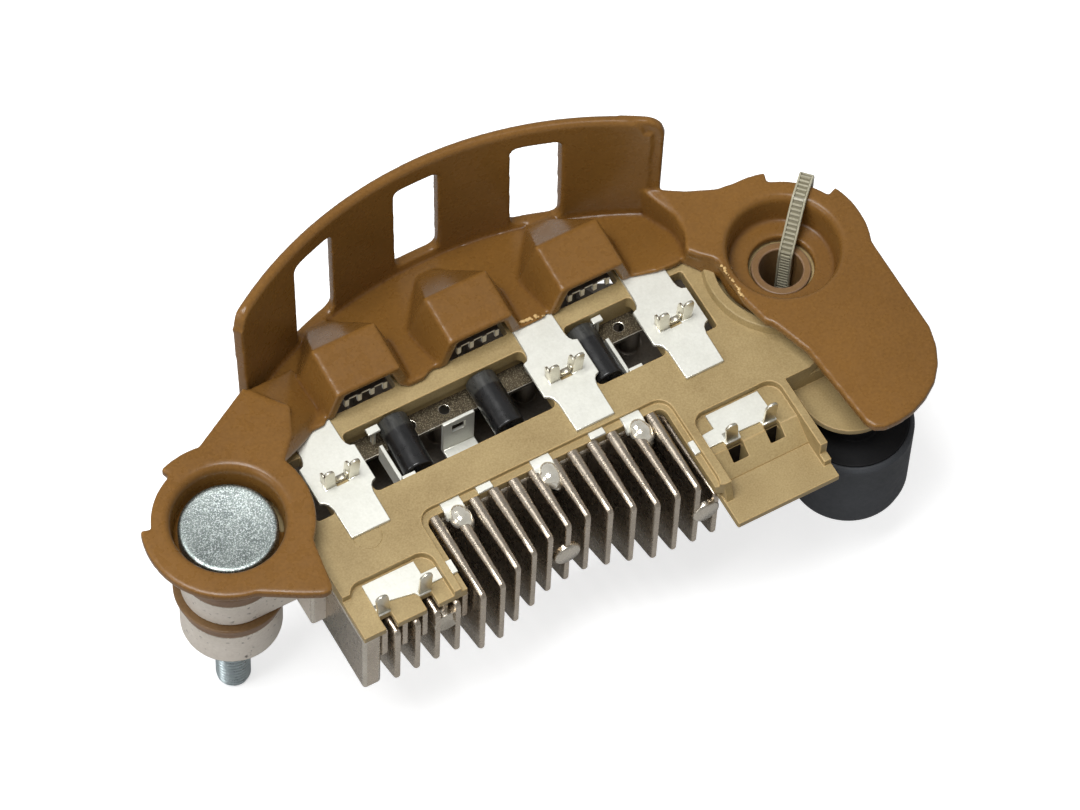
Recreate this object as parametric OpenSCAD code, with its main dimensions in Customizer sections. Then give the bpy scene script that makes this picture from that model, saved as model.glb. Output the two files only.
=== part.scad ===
// Alternator rectifier: moulded shield and terminal board over two cast heat sinks,
// B+ bolt at one end, mounting bush and condenser at the other.
// Millimetres. Origin on the bolt axis at the seating plane, X toward the mounting bush, Z up.

/* [Node] */

/* [Layout] */
// distance from the bolt axis to the mounting bush axis along X
bush_x = 106; // [100:0.5:112]
// offset of the bush axis along Y
bush_y = 1.6; // [0:0.1:4]
// height of the terminal board top above the seating plane
board_z = 28.4; // [26:0.1:32]
// thickness of the terminal board
board_t = 3; // [2:0.1:4]
// spacing of the diode stations along X
station_pitch = 21.2; // [20:0.1:22]
// X of the middle diode station
station_x = 53.3; // [52:0.1:55]
// step from one diode station to the phase terminal beside it
tab_shift = 10.1; // [9:0.1:11]

/* [Bolt and stack] */
// radius of the M6 stud
stud_r = 3; // [2.5:0.1:4]
// radius of the bolt's shank inside the stack
shank_r = 2.65; // [2.3:0.05:2.9]
// how far the stud stands below the seating plane
stud_out = 21.2; // [15:0.1:26]
// radius of the bolt head
head_r = 8.3; // [7:0.1:9]
// height of the bolt head
head_h = 3; // [2:0.1:4]
// outer radius of the two metal rings on the bolt
ring_r = 8.65; // [8:0.05:9.5]
// height of the earth heat sink rings
neg_ring_h = 8.9; // [7:0.1:10]
// height of the live heat sink boss
pos_boss_h = 6.8; // [5:0.1:8]

/* [Shield] */
// height of the cup rims above the board
rim_h = 6; // [5:0.1:8]
// thickness of the moulded shield
shield_t = 2; // [1.6:0.1:2.6]
// inner radius of the cups at the bottom
cup_r = 9.1; // [8.8:0.05:9.4]
// outer radius of the cup wall
cup_or = 11; // [10.6:0.1:11.1]
// X of the wall's centre of curvature
wall_cx = 54; // [52:0.1:56]
// Y of the wall's inner face at its middle, at the board plane
wall_y = 33.1; // [30:0.1:35]
// inner radius of the crescent wall at the board plane
wall_r = 67.9; // [64:0.1:72]
// height of the wall top above the board
wall_h = 25; // [20:0.1:30]
// outward lean of the wall per mm of height
wall_lean = 0.045; // [0:0.005:0.08]
// width of a wall window
win_w = 8.3; // [6:0.1:10]
// height of the hump roofs above the board
hump_h = 6.9; // [5:0.1:9]

/* [Heat sink fins] */
// spacing of the fins
fin_pitch = 3.72; // [3.4:0.01:4]
// X of the first fin
fin_x0 = 16.7; // [15.5:0.1:17.5]
// fin thickness at the front edge
fin_tip = 1.1; // [0.9:0.05:1.5]
// fin thickness at the root
fin_root = 2.2; // [1.6:0.05:2.6]
// top of the fins below the board top
fin_top = 0.8; // [0.5:0.1:1.5]
// bottom of the fin front edge below the board top
fin_low = 19.2; // [16:0.1:21]

/* [Condenser] */
// X of the condenser axis
cond_x = 106.3; // [104:0.1:108]
// Y of the condenser axis
cond_y = -23.6; // [-26:0.1:-21]
// radius of the condenser can
cond_r = 10.4; // [9:0.1:11.5]
// height of the condenser can
cond_h = 20; // [16:0.1:24]
// top of the condenser below the board top
cond_top = 13.4; // [12:0.1:15]

/* [Bush] */
// outer radius of the mounting bush
bush_or = 5.1; // [4.6:0.05:5.4]
// bore radius of the mounting bush
bush_ir = 3.75; // [3:0.05:4.2]

// lengths that follow from the sizes above
ring_top = -board_z + neg_ring_h;          // top of the earth rings, from the board top
boss_top = -9;                             // top of the live boss
boss_low = boss_top - pos_boss_h;          // bottom of the live boss
board_ring_low = -6.6;                     // bottom of the board's eyes
cup_floor = 0;                             // floor of the shield cups
shield_low = cup_floor - shield_t;         // underside of the cup floors
wall_cy = wall_y - wall_r;                 // Y of the wall's centre of curvature
wall_end = [14.9, 91.4];                   // X of the wall's two ends
sl = (-3.4 - 1.5) / 21;                    // slope of the crescent floor per mm of Y
st = [for (i = [-1, 0, 1]) station_x + i * station_pitch];
tab_x = [st[0] - 11.1, st[1] + tab_shift - 0.1, st[2] + tab_shift - 0.3];
cut_x = [30, 75];                          // sides of the board's cut-out
live_x = [14, 78.4];                       // ends of the live casting's spine
fin_count = floor((live_x[1] - 2 - fin_x0) / fin_pitch) + 1;
fin_y = -12.4;                             // root line of the fins
bx = bush_x - 106;                         // shift of the bush end from the drawn outlines
// curve of the fins' front edges, X against Y
fin_front = [[12, -27.5], [24.14, -27.5], [27.86, -27.6], [31.58, -29.4], [35.3, -29.2], [39.02, -27.6], [42.74, -26.4],
             [46.46, -25.2], [50.18, -24.7], [53.9, -24.6], [57.62, -25.6], [61.34, -26.8], [65.06, -28.2],
             [68.78, -28.4], [72.5, -28.7], [80, -28.7]];
plate_z = -5.2;                            // top of the tinned plate under the slots
plate_y = 4.3;                             // front edge of the tinned plate

module up(h) translate([0, 0, h]) children();
module box(x0, x1, y0, y1, z0, z1) translate([x0, y0, z0]) cube([x1 - x0, y1 - y0, z1 - z0]);
function round_rect(x0, x1, y0, y1, r, n = 6) =
  [for (c = [[x1 - r, y1 - r, 0], [x0 + r, y1 - r, 90], [x0 + r, y0 + r, 180], [x1 - r, y0 + r, 270]])
    for (i = [0:n]) [c[0] + r * cos(c[2] + 90 * i / n), c[1] + r * sin(c[2] + 90 * i / n)]];
module rbox2(x0, x1, y0, y1, r) polygon(round_rect(x0, x1, y0, y1, r));

// everything below is placed from the board top, which the whole part lifts to its height

module ring_outline(r1, r2, a0, a1) {
  // disc of radius r1 with the sector from a0 to a1 drawn in to radius r2
  difference() {
    circle(r1, $fn = 128);
    difference() {
      polygon([[0, 0], for (i = [0:12]) [40 * cos(a0 + (a1 - a0) * i / 12), 40 * sin(a0 + (a1 - a0) * i / 12)]]);
      circle(r2, $fn = 128);
    }
  }
}

module left_plate_2d() {
  ring_outline(14.4, 12.6, 112, 160);
  // nose that reaches over the left bay
  polygon([[-3, -13.8], [4.2, -18.1], [7.2, -19.6], [8.4, -19.7], [9.2, -18.9], [9.9, -14], [10.9, -7.5],
           [10.8, -1.7], [11.2, 2.3], [13, 5], [16.6, 9], [19, 14], [13.6, 20.6], [2, 14.2], [0, 0]]);
}

module right_plate_2d() {
  translate([bush_x, bush_y]) ring_outline(14.9, 13, 24, 72);
  // neck to the crescent
  polygon([[93.2, 21.4], [97, 19], [101.8 + bx, 16.9], [106 + bx, 16.4], [106 + bx, -8], [97.8 + bx, -12.6], [95.8, -4.6],
           [95.4, 3.6], [93, 6.8], [91.4, 8.6], [93.6, 14]]);
  // long arm over the condenser
  translate([bx, 0]) polygon([[106, 16.4], [110, 10], [119.6, 6], [119.6, -6], [119.6, -23.5],
           [118.7, -27], [117.2, -30], [115, -32.6], [112, -34.6], [109, -35.8], [106, -36.3], [103.3, -36.2],
           [101.6, -35.4], [100.9, -34], [100.4, -29.3], [99.4, -17.5], [97.8, -12.6], [96.2, -8.4], [95.8, -4.6],
           [95.4, 3.6]]);
}

module wall_profile(grow = 0) {
  // cross section of the crescent wall, radius against height
  z0 = -5.4;
  polygon([[wall_r + z0 * wall_lean, z0], [wall_r + (wall_h - 0.6) * wall_lean, wall_h - 0.6],
           [wall_r + wall_h * wall_lean + 0.6, wall_h], [wall_r + wall_h * wall_lean + 1.3, wall_h],
           [wall_r + (wall_h - 0.6) * wall_lean + shield_t, wall_h - 0.6], [wall_r + z0 * wall_lean + shield_t, z0]]);
}

module crescent_wall() {
  difference() {
    translate([wall_cx, wall_cy, 0]) rotate([0, 0, acos((wall_end[1] - wall_cx) / wall_r)])
      rotate_extrude(angle = acos((wall_end[0] - wall_cx) / wall_r) - acos((wall_end[1] - wall_cx) / wall_r), $fn = 180) wall_profile();
    // three windows with rounded shoulders
    for (x = st) translate([x, 20, 0]) rotate([-90, 0, 0]) linear_extrude(height = 20)
      translate([-win_w / 2, -20.2]) rbox2(0, win_w, 0, 22.4, 1.4);
    // rounded top corners at both ends
    end_corner(13.4, 23.5, 38, -1);
    end_corner(91.9, 25.6, -32, 1);
  }
}

module end_corner(x, y, a, s) {
  translate([x, y, wall_h - 3.2]) rotate([0, 0, a]) rotate([90, 0, 0])
    translate([0, 0, -6]) linear_extrude(height = 12) difference() {
      translate([s > 0 ? -3.2 : -6, 0]) square([9.2, 5]);
      translate([s > 0 ? -3.2 : 3.2, 0]) circle(3.2, $fn = 48);
    }
}

module crescent_2d() {
  // plan of the crescent floor
  intersection() {
    translate([wall_cx, wall_cy]) circle(wall_r + 1.6, $fn = 180);
    polygon([[14, 20.5], [15.8, 15], [18, 10.2], [23.4, 10.2], [24.6, 11.4], [38.2, 11.4], [39.4, 10.4], [42.2, 10.4],
             [44.2, 11.4], [59.4, 11.4], [60.6, 11], [65.2, 11], [67.2, 12], [80.2, 12], [82, 11], [86.6, 9.7],
             [90.4, 9.4], [93.4, 10.6], [96, 22], [80, 40], [20, 40], [10, 24]]);
  }
}

module floor_slab(drop = 0) {
  // sheet that falls from the front edge to the wall foot
  translate([0, 11, 1.5 - drop]) rotate([atan(sl), 0, 0]) translate([0, -12, -shield_t])
    cube([110, 40, shield_t]);
}

module hump_shape(x, i) {
  // one hump: flat roof, sloping flanks, back running down to the wall foot
  w = 5.6 - i;
  h = hump_h - i;
  y0 = 11.3 + (i > 0 ? -3 : 0);
  k = i > 0 ? 0.5 : 1;
  hull() {
    for (s = [-1, 1]) {
      translate([x + s * w, y0, h]) cube(0.5, center = true);
      translate([x + s * w, 20 - i, h + 0.9]) cube(0.5, center = true);
      translate([x + s * (w + 2.2), y0, 0.2 - i]) cube(0.5, center = true);
      translate([x + s * (w + 3.4), 20 - i, -2.2 - i]) cube(0.5, center = true);
      translate([x + s * 1.2, 30.4 - 1.6 * i, -3.6 - i]) cube(0.5, center = true);
    }
  }
}

module shield_cover() {
  color([0.50, 0.33, 0.17]) up(board_z) difference() {
    union() {
      up(rim_h - shield_t) linear_extrude(height = shield_t) { left_plate_2d(); right_plate_2d(); }
      for (p = [[0, 0], [bush_x, bush_y]]) translate([p[0], p[1], shield_low])
        cylinder(r = cup_or, h = rim_h - shield_low - 0.1, $fn = 128);
      // crescent floor and wall
      intersection() {
        up(-8) linear_extrude(height = 12) crescent_2d();
        floor_slab();
      }
      crescent_wall();
      for (x = st) hump_shape(x, 0);
      // ramp that joins the floor to the left ring plate
      hull() {
        up(rim_h - 0.6) linear_extrude(height = 0.5) polygon([[12.4, 4.6], [16.2, 8.6], [17.6, 12], [14, 20], [10, 17.5], [9, 12]]);
        up(-0.2) linear_extrude(height = 0.5) polygon([[15.4, 9.4], [21.5, 10.4], [24.5, 14], [24, 23], [17, 20.6], [14, 15]]);
      }
      // upright skirt between the crescent and the right plate
      up(-3.6) linear_extrude(height = rim_h + 3.4) polygon([[90.6, 22.6], [93.8, 21], [97.2, 15], [97.6, 9.4], [95.9, 4],
             [94.4, 4.6], [92.6, 7.6], [91.4, 9.2], [92.8, 12], [92.9, 16]]);
    }
    // hollows of the cups, with a rounded lip
    for (p = [[0, 0], [bush_x, bush_y]]) translate([p[0], p[1], 0]) {
      rotate_extrude($fn = 128) polygon([[0, cup_floor], [cup_r, cup_floor], [cup_r + 0.35, rim_h - 1.4],
        [cup_r + 0.5, rim_h - 0.8], [cup_r + 0.8, rim_h - 0.35], [cup_r + 1.3, rim_h], [cup_r + 1.3, rim_h + 1], [0, rim_h + 1]]);
    }
    translate([0, 0, shield_low - 1]) cylinder(r = stud_r + 0.4, h = 5, $fn = 64);
    translate([bush_x, bush_y, shield_low - 1]) cylinder(r = bush_or + 0.5, h = 5, $fn = 64);
    // space under the humps, open to the front and below
    for (x = st) {
      hump_shape(x, 1.6);
      box(x - 6.2, x + 6.2, 8, 19, -8, 0.4);
    }
    // seats for the board, the terminals and the parts under it
    box(8, 98, -14, 15.6, -7, 0);
    translate([bush_x, bush_y, -7]) difference() {
      cylinder(r = 14, h = 7, $fn = 96);
      up(-1) cylinder(r = cup_or + 0.02, h = 9, $fn = 128);
    }
    for (x = tab_x) translate([x, 0, 0]) up(0) linear_extrude(height = 0.6) tab_2d(0);
  }
}

module board_2d() {
  difference() {
    union() {
      polygon([[10.9, -26.7], [cut_x[0], -26.7], [cut_x[0], -12.3], [cut_x[1], -12.3], [cut_x[1], -29.6], [cut_x[1] + 1.4, -30.4], [95.4, -30.4], [95.4, -17.8],
               [100 + bx, -17.8], [112 + bx, -14], [118 + bx, -6], [118 + bx, 6], [106 + bx, 13], [94, 13], [86, 15.4], [20, 15.4], [11, 12], [5, 8], [5, -6], [10.9, -10]]);
      translate([bush_x, bush_y]) circle(13.2, $fn = 128);
    }
    // the two slots under the diodes
    rbox2(25.2, 59.3, -4.2, 8, 1);
    rbox2(67.4, 80.5, -4.2, 8.4, 1);
    // recess beside the left terminal and channel beside the right one
    rbox2(14.1, 17.4, -4.6, 7.4, 0.6);
    rbox2(87, 90.5, -3.6, 8.6, 0.5);
    // space behind the bar for the diode leads
    for (x = st) rbox2(x - 5.6, x + 5.6, 11.8, 20, 0.5);
  }
}

module cut_corner(x, y, sx) {
  // fillet left in a rear corner of the cut-out
  translate([x, y, -board_t]) linear_extrude(height = board_t) difference() {
    translate([sx > 0 ? 0 : -1.4, -1.4]) square([1.4, 1.4]);
    translate([sx * 1.4, -1.4]) circle(1.4, $fn = 32);
  }
}

module terminal_board() {
  color([0.65, 0.54, 0.37]) up(board_z) difference() {
    union() {
      up(-board_t) linear_extrude(height = board_t) board_2d();
      cut_corner(cut_x[0], -12.3, 1);
      cut_corner(cut_x[1], -12.3, -1);
      // bar behind the slots, carried down to the tinned plate
      box(20, 86, 8.4, 11.6, plate_z, -board_t + 0.1);
      // eye around the bolt and cup around the bush
      up(board_ring_low) cylinder(r = ring_r, h = -board_ring_low + shield_low, $fn = 96);
      translate([bush_x, bush_y, board_ring_low]) cylinder(r = 12.9, h = -board_ring_low - board_t + 0.1, $fn = 128);
      // link from the eye to the board
      box(2, 8.2, -7, 7, -5, -board_t + 0.1);
      // front plate, ramp and side walls of the right bay
      translate([76.1, 0, 0]) rotate([90, 0, 90]) linear_extrude(height = 19.3)
        polygon([[-36, -4.4], [-28.6, -4.4], [-24, -1.6], [-24, -3.6], [-28, -6.2], [-35.4, -6.2], [-36, -5.8]]);
      translate([94, 0, 0]) rotate([90, 0, 90]) linear_extrude(height = 1.4)
        polygon([[-33.2, -0.4], [-32.9, 0], [-20, 0], [-20, -4], [-33.3, -5]]);
      translate([76.4, 0, 0]) rotate([90, 0, 90]) linear_extrude(height = 1.3)
        polygon([[-31.6, -4.6], [-30, -0.2], [-29.6, 0], [-20, 0], [-20, -4]]);
      // block under the right bay that its two slots end in
      box(79.2, 92.2, -27.6, -21.8, -12, -3.4);
      // lower flange that carries the condenser
      translate([cond_x - 0.3, cond_y + 2.2, -7.2]) cylinder(r = 8.6, h = 1.3, $fn = 96);
      box(95, 114 + bx, -20, -14, -7.2, -5.9);
      box(95, 114 + bx, -17.8, -16.2, -7.2, -board_t + 0.1);
    }
    // hollows of the eyes
    up(shield_low) cylinder(r = cup_or + 0.1, h = 6, $fn = 128);
    translate([bush_x, bush_y, shield_low]) cylinder(r = 11.2, h = 6, $fn = 128);
    translate([bush_x, bush_y, -1]) cylinder(r = 12.3, h = 6, $fn = 128);
    up(-12) cylinder(r = stud_r + 0.4, h = 20, $fn = 64);
    translate([bush_x, bush_y, -12]) cylinder(r = bush_or, h = 20, $fn = 96);
    // pocket of the left bay, open to the front, with two slots
    up(-1.5) linear_extrude(height = 3) {
      rbox2(12.2, 27.5, -30, -17.5, 2.4);
    }
    up(-1.5) linear_extrude(height = 3) polygon([[9, -19], [12.4, -19], [13, -28], [9, -28]]);
    box(14.9, 17, -28, -24.2, -6, 2);
    box(22.5, 24.6, -28, -24.1, -6, 2);
    // pocket of the right bay and its two slots
    up(-1.6) linear_extrude(height = 3) rbox2(77.7, 94, -30.6, -16.6, 2.4);
    box(77.7, 94, -40, -28.2, -4.4, 2);
    translate([76.1, 0, 0]) rotate([90, 0, 90]) up(1.6) linear_extrude(height = 16.3)
      polygon([[-28.6, -4.4], [-24, -1.6], [-23, -1.6], [-23, 1], [-31, 1], [-31, -4.4]]);
    box(80.7, 83.6, -26.2, -23.4, -11, 2);
    box(88, 90.7, -26, -23.2, -11, 2);
    box(60, 95.4, -45, -31.6, -3, 2);
    // stepped edge around the cut-out
    up(-1) linear_extrude(height = 2) rbox2(cut_x[0] - 1.1, cut_x[1] + 1.1, -31, -11, 2.6);
  }
}

module tab_2d(i) {
  // plan of a phase terminal about its own centre line
  difference() {
    polygon([[-3.6, -10.2], [3.6, -10.2], [3.7, -4.2], [4, -3], [4.5, -2.4], [5.2, -2.1], [5.2, 5.1], [4.4, 5.4], [4, 6], [3.8, 7], [3.7, 14],
             [-3.7, 14], [-3.8, 7], [-4, 6], [-4.4, 5.4], [-5.2, 5.1], [-5.2, -2.1], [-4.5, -2.4], [-4, -3], [-3.7, -4.2]]);
    if (i > 0) translate([-1.1, -0.6]) square([2.2, 1.8]);
  }
}

module prong(w, h) {
  // upright prong with a rounded head, folded from sheet
  rotate([90, 0, 0]) translate([0, 0, -0.45]) linear_extrude(height = 0.9) {
    translate([-w / 2, 0]) square([w, h - w / 2]);
    translate([0, h - w / 2]) circle(w / 2, $fn = 32);
  }
  translate([-w / 2, -0.35, 0]) cube([0.8, 1.9, h - 1.4]);
}

module phase_terminal(x) {
  color([0.88, 0.88, 0.84]) translate([x, 0, board_z]) {
    linear_extrude(height = 0.6) tab_2d(1);
    translate([-2.1, 0, 0.5]) prong(2, 4.2);
    translate([2.1, 0.1, 0.5]) mirror([1, 0, 0]) prong(2, 4.2);
    // loop between the prongs
    translate([0, 0.9, 1.75]) rotate([90, 0, 0]) rotate([0, 0, 180]) rotate_extrude(angle = 180, $fn = 32)
      translate([1.1, -0.3]) square([0.5, 1.1]);
  }
}

module phase_terminal_left() phase_terminal(tab_x[0]);
module phase_terminal_middle() phase_terminal(tab_x[1]);
module phase_terminal_right() phase_terminal(tab_x[2]);

function fin_at(i) = fin_x0 + i * fin_pitch;
function under_board(x) = x < cut_x[0] ? board_t + 0.35 : x > cut_x[1] ? 6.4 : fin_top;

module fin(x, y, low = fin_low, top = fin_top) {
  // wedge fin: thick at the root, thin at the front edge, lower edge falling to the root
  translate([x, 0, 0]) intersection() {
    up(-30) linear_extrude(height = 30) polygon([[-fin_root / 2, fin_y], [fin_root / 2, fin_y], [fin_tip / 2, y], [-fin_tip / 2, y]]);
    translate([-3, 0, 0]) rotate([90, 0, 90]) linear_extrude(height = 6)
      polygon([[y, -low], [y + 0.5, -low - 0.1], [fin_y, -low - (fin_y - y) * 0.3], [fin_y, -max(3.4, top)], [fin_y - 3, -top], [y + 0.4, -top], [y, -top - 0.5]]);
  }
}

module positive_heat_sink() {
  color([0.78, 0.76, 0.72]) up(board_z) difference() {
    union() {
      // spine under the board and along the roots of the fins
      box(live_x[0], live_x[1], fin_y - 0.2, -8.8, -24, -board_t);
      box(12, live_x[1], -9, -5.4, -24, -board_t - 0.01);
      for (i = [0:fin_count - 1]) fin(fin_at(i), lookup(fin_at(i), fin_front), fin_low, under_board(fin_at(i)));
      // short fins that hang between the first ones
      for (i = [-1:floor((cut_x[0] - fin_x0) / fin_pitch - 0.5)]) translate([fin_at(i + 0.5), 0, 0]) translate([-0.55, 0, 0]) rotate([90, 0, 90])
        linear_extrude(height = 1.1) {
          polygon([[-26.4, -3.35], [-26.4, -10.4], [-24.9, -11.9], [-12, -11.9], [-12, -3.35]]);
          translate([-24.9, -10.4]) circle(1.5, $fn = 32);
        }
      // left cheek and the step toward the bolt
      box(10.9, 14.2, -26.4, -9, -20, -3.4);
      box(8.3, 11.4, -13.2, -6, -17, -3.4);
      // arm and boss on the bolt
      up(boss_low) linear_extrude(height = pos_boss_h) {
        circle(ring_r - 0.25, $fn = 96);
        polygon([[0, -8.4], [9, -8.4], [9, -6], [13, -6], [13, 5], [6, 6], [0, 8.4]]);
      }
      // round pads left by the mould ejectors
      translate([50.1, -24, -10.2]) rotate([90, 0, 0]) cylinder(r = 2.5, h = 1.1, $fn = 48);
      translate([74.3, -28, -10.2]) rotate([90, 0, 0]) cylinder(r = 2.5, h = 1.1, $fn = 48);
      difference() {
        translate([26, -26, -7.6]) rotate([90, 0, 0]) cylinder(r = 2.5, h = 1.6, $fn = 48);
        translate([25.9, -25, -4.4]) rotate([90, 0, 0]) cylinder(r = 2.2, h = 4, $fn = 48);
      }
    }
    up(-40) cylinder(r = stud_r + 0.1, h = 50, $fn = 64);
  }
}

module negative_heat_sink() {
  color([0.74, 0.72, 0.68]) up(board_z) difference() {
    union() {
      up(-board_z) cylinder(r = ring_r, h = neg_ring_h, $fn = 96);
      translate([bush_x, bush_y, -board_z]) cylinder(r = ring_r, h = neg_ring_h, $fn = 96);
      // curved plate between the two rings
      up(ring_top - 5) linear_extrude(height = 5) intersection() {
        translate([wall_cx, wall_cy]) circle(wall_r - 3, $fn = 160);
        polygon([[-2, 1], [8, 0], [18, 4], [90, 4], [99, 0], [108, 3], [100, 14], [90, 40], [14, 40], [4, 12]]);
      }
      // tongue that reaches the ring on the bush
      up(ring_top - 5) linear_extrude(height = 5)
        polygon([[88, 5], [97 + bx, bush_y - 4], [bush_x - 6, bush_y - 5], [bush_x - 3, bush_y + 7], [97, 14.5], [88, 18]]);
      // posts that carry the terminal board
      for (x = [28, 45, 61.5, 82]) translate([x, 10, ring_top - 1]) cylinder(r = 1.9, h = plate_z - 0.8 - ring_top + 1, $fn = 32);
    }
    up(-40) cylinder(r = stud_r + 1.5, h = 60, $fn = 64);
    translate([bush_x, bush_y, -40]) cylinder(r = bush_or, h = 60, $fn = 96);
    for (x = st) translate([x, 17, ring_top - 6]) cylinder(r = 6.2, h = 10, $fn = 64);
  }
}

module negative_diode(x) {
  color([0.70, 0.70, 0.68]) translate([x, 17, board_z]) {
    up(ring_top - 5) cylinder(r = 6.2, h = 9.6, $fn = 64);
    up(ring_top + 4.4) cylinder(r = 3, h = 2, $fn = 48);
    up(ring_top + 6) cylinder(r = 0.7, h = 2.4 - ring_top - 6, $fn = 24);
    // bent tinned strip from the lead, seen in the mouth of the hump
    translate([-4, -4.9, 2.2]) cube([8, 5.7, 0.5]);
    for (s = [-3.6, -1.2, 1.2, 3.6]) translate([s - 0.4, -5.1, 0.6]) cube([0.8, 0.6, 2.1]);
  }
}

module negative_diode_left() negative_diode(st[0]);
module negative_diode_middle() negative_diode(st[1]);
module negative_diode_right() negative_diode(st[2]);

module b_plus_bolt() {
  color([0.62, 0.66, 0.66]) up(board_z) {
    rotate_extrude($fn = 128) polygon([[0, 0], [head_r, 0], [head_r, head_h - 0.35], [head_r - 0.35, head_h], [0, head_h]]);
    // stud with its rounded point, and the thinner shank that runs up to the head
    up(-board_z - stud_out) rotate_extrude($fn = 64)
      polygon([[0, 0], [stud_r - 1.2, 0], [stud_r - 0.4, 0.7], [stud_r, 1.9], [stud_r, stud_out - 0.1],
               [shank_r, stud_out - 0.1], [shank_r, stud_out + board_z + 0.1], [0, stud_out + board_z + 0.1]]);
  }
}

module stud_washer() {
  color([0.60, 0.52, 0.44]) up(board_z + boss_top) difference() {
    cylinder(r = ring_r, h = board_ring_low - boss_top, $fn = 96);
    up(-1) cylinder(r = stud_r + 0.4, h = 9, $fn = 64);
  }
}

module stud_insulating_cup() {
  color([0.50, 0.38, 0.26]) up(board_z) difference() {
    union() {
      up(boss_low - 0.9) cylinder(r = ring_r + 0.95, h = 0.9, $fn = 96);
      up(ring_top) cylinder(r = ring_r + 0.15, h = boss_low - ring_top - 0.5, $fn = 96);
      up(ring_top - neg_ring_h + 0.6) cylinder(r = stud_r + 1.5, h = neg_ring_h, $fn = 64);
    }
    up(-40) cylinder(r = stud_r + 0.1, h = 60, $fn = 64);
  }
}

module mounting_bush() {
  color([0.62, 0.42, 0.26]) translate([bush_x, bush_y, 0]) difference() {
    cylinder(r = bush_or, h = board_z - 1.2, $fn = 96);
    up(-1) cylinder(r = bush_ir, h = board_z + 5, $fn = 96);
  }
}

module condenser_can() {
  color([0.22, 0.22, 0.25]) translate([cond_x, cond_y, board_z - cond_top - cond_h]) rotate_extrude($fn = 128)
    polygon([[0, 0], [cond_r - 3, 0], [cond_r - 1.4, 0.7], [cond_r - 0.4, 2], [cond_r, 3.6], [cond_r, cond_h - 0.8], [cond_r - 0.6, cond_h - 0.2],
             [cond_r - 1, cond_h - 0.2], [cond_r - 1, cond_h - 1.2], [0, cond_h - 1.2]]);
}

module condenser_cap() {
  color([0.07, 0.07, 0.08]) translate([cond_x, cond_y, board_z - cond_top]) {
    up(-1.2) cylinder(r = cond_r - 1, h = 1.2, $fn = 128);
    up(-0.1) cylinder(r = 4.5, h = cond_top - 7.2 + 0.1, $fn = 64);
  }
}

module trio_diode(x, a) {
  color([0.06, 0.06, 0.07]) translate([x, 2.2, board_z + plate_z + 2.75]) rotate([0, 0, a]) rotate([90, 0, 0]) {
    up(-5.4) cylinder(r = 2.75, h = 10.8, $fn = 64);
    up(5) cylinder(r = 0.5, h = 1.4, $fn = 24);
  }
}

module trio_diode_left() trio_diode(34.2, -3);
module trio_diode_middle() trio_diode(51.2, 0);
module trio_diode_right() trio_diode(70.2, 0);

module trio_plate() {
  color([0.62, 0.60, 0.56]) up(board_z) difference() {
    box(22, 84, plate_y, 12, plate_z - 0.8, plate_z);
    for (x = [37.6, 44, 60.5, 66.4, 77.5]) translate([x, 6.6, plate_z - 2]) cylinder(r = 0.9, h = 4, $fn = 32);
  }
}

module trio_bracket() {
  color([0.82, 0.81, 0.76]) up(board_z) difference() {
    union() {
      box(42.2, 48.2, plate_y - 0.7, plate_y, plate_z - 8.4, plate_z + 0.4);
      box(42.2, 48.2, plate_y - 3.4, plate_y, plate_z - 8.4, plate_z - 7.8);
    }
    box(43.9, 46.3, plate_y - 2, plate_y + 1, plate_z - 3.2, plate_z - 0.9);
  }
}

module trio_strip(x, y1) {
  // bright strip on edge, with a small foot on the slot edge
  color([0.86, 0.84, 0.78]) up(board_z) {
    box(x, x + 0.7, -3.9, plate_y, plate_z - 1.6, plate_z + 2.8);
    box(x, x + 2.5, -4.2, -3.5, -2.6, -0.4);
  }
}

module trio_strip_left() trio_strip(30.3, 0);
module trio_strip_right() trio_strip(73.4, 0);

module bay_terminal_left() {
  color([0.93, 0.93, 0.91]) up(board_z - 1.5) {
    linear_extrude(height = 0.4) polygon([[15, -18], [24.6, -18], [24.6, -20.6], [27.4, -20.6], [27.4, -22.9], [24.8, -22.9],
      [24.6, -24.1], [22.5, -24.1], [22, -23.2], [17.4, -22.4], [17, -24.2], [14.9, -24.2]]);
    translate([15.95, -23.7, 0.2]) prong(2.1, 5.4);
    translate([23.55, -23.6, 0.2]) mirror([1, 0, 0]) prong(2.1, 5.4);
  }
}

module bay_terminal_right() {
  color([0.93, 0.93, 0.91]) up(board_z - 1.6) {
    linear_extrude(height = 0.4) polygon([[80.4, -17], [90.4, -17], [90.6, -23.2], [88.1, -23.2], [87.8, -22.3], [83.8, -22.2], [83.6, -23.4],
      [80.8, -23.4], [80.6, -22.6], [78, -22.6], [78, -20], [80.4, -19.8]]);
    translate([82.1, -22.9, 0.2]) prong(2.1, 5);
    translate([89.3, -22.7, 0.2]) mirror([1, 0, 0]) prong(2.1, 5);
  }
}

module lug_profile() {
  // strip on the board edge, bent over it and down between the fins
  polygon([[-11, -0.5], [-12.3, -0.35], [-13.2, -0.65], [-13.8, -1.3], [-13.9, -2], [-13.3, -2.1], [-13.1, -1.5], [-12.4, -1], [-11, -1]]);
}

module diode_lug(x) {
  color([0.90, 0.89, 0.84]) up(board_z) difference() {
    translate([x - 1.8, 0, 0]) rotate([90, 0, 90]) linear_extrude(height = 3.6) lug_profile();
    fins_only();
  }
}

module fins_only() {
  for (i = [0:fin_count - 1]) if (under_board(fin_at(i)) == fin_top) fin(fin_at(i), lookup(fin_at(i), fin_front));
}

module diode_lug_left() diode_lug(35.1);
module diode_lug_middle() diode_lug(52);
module diode_lug_right() diode_lug(69.2);

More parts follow.
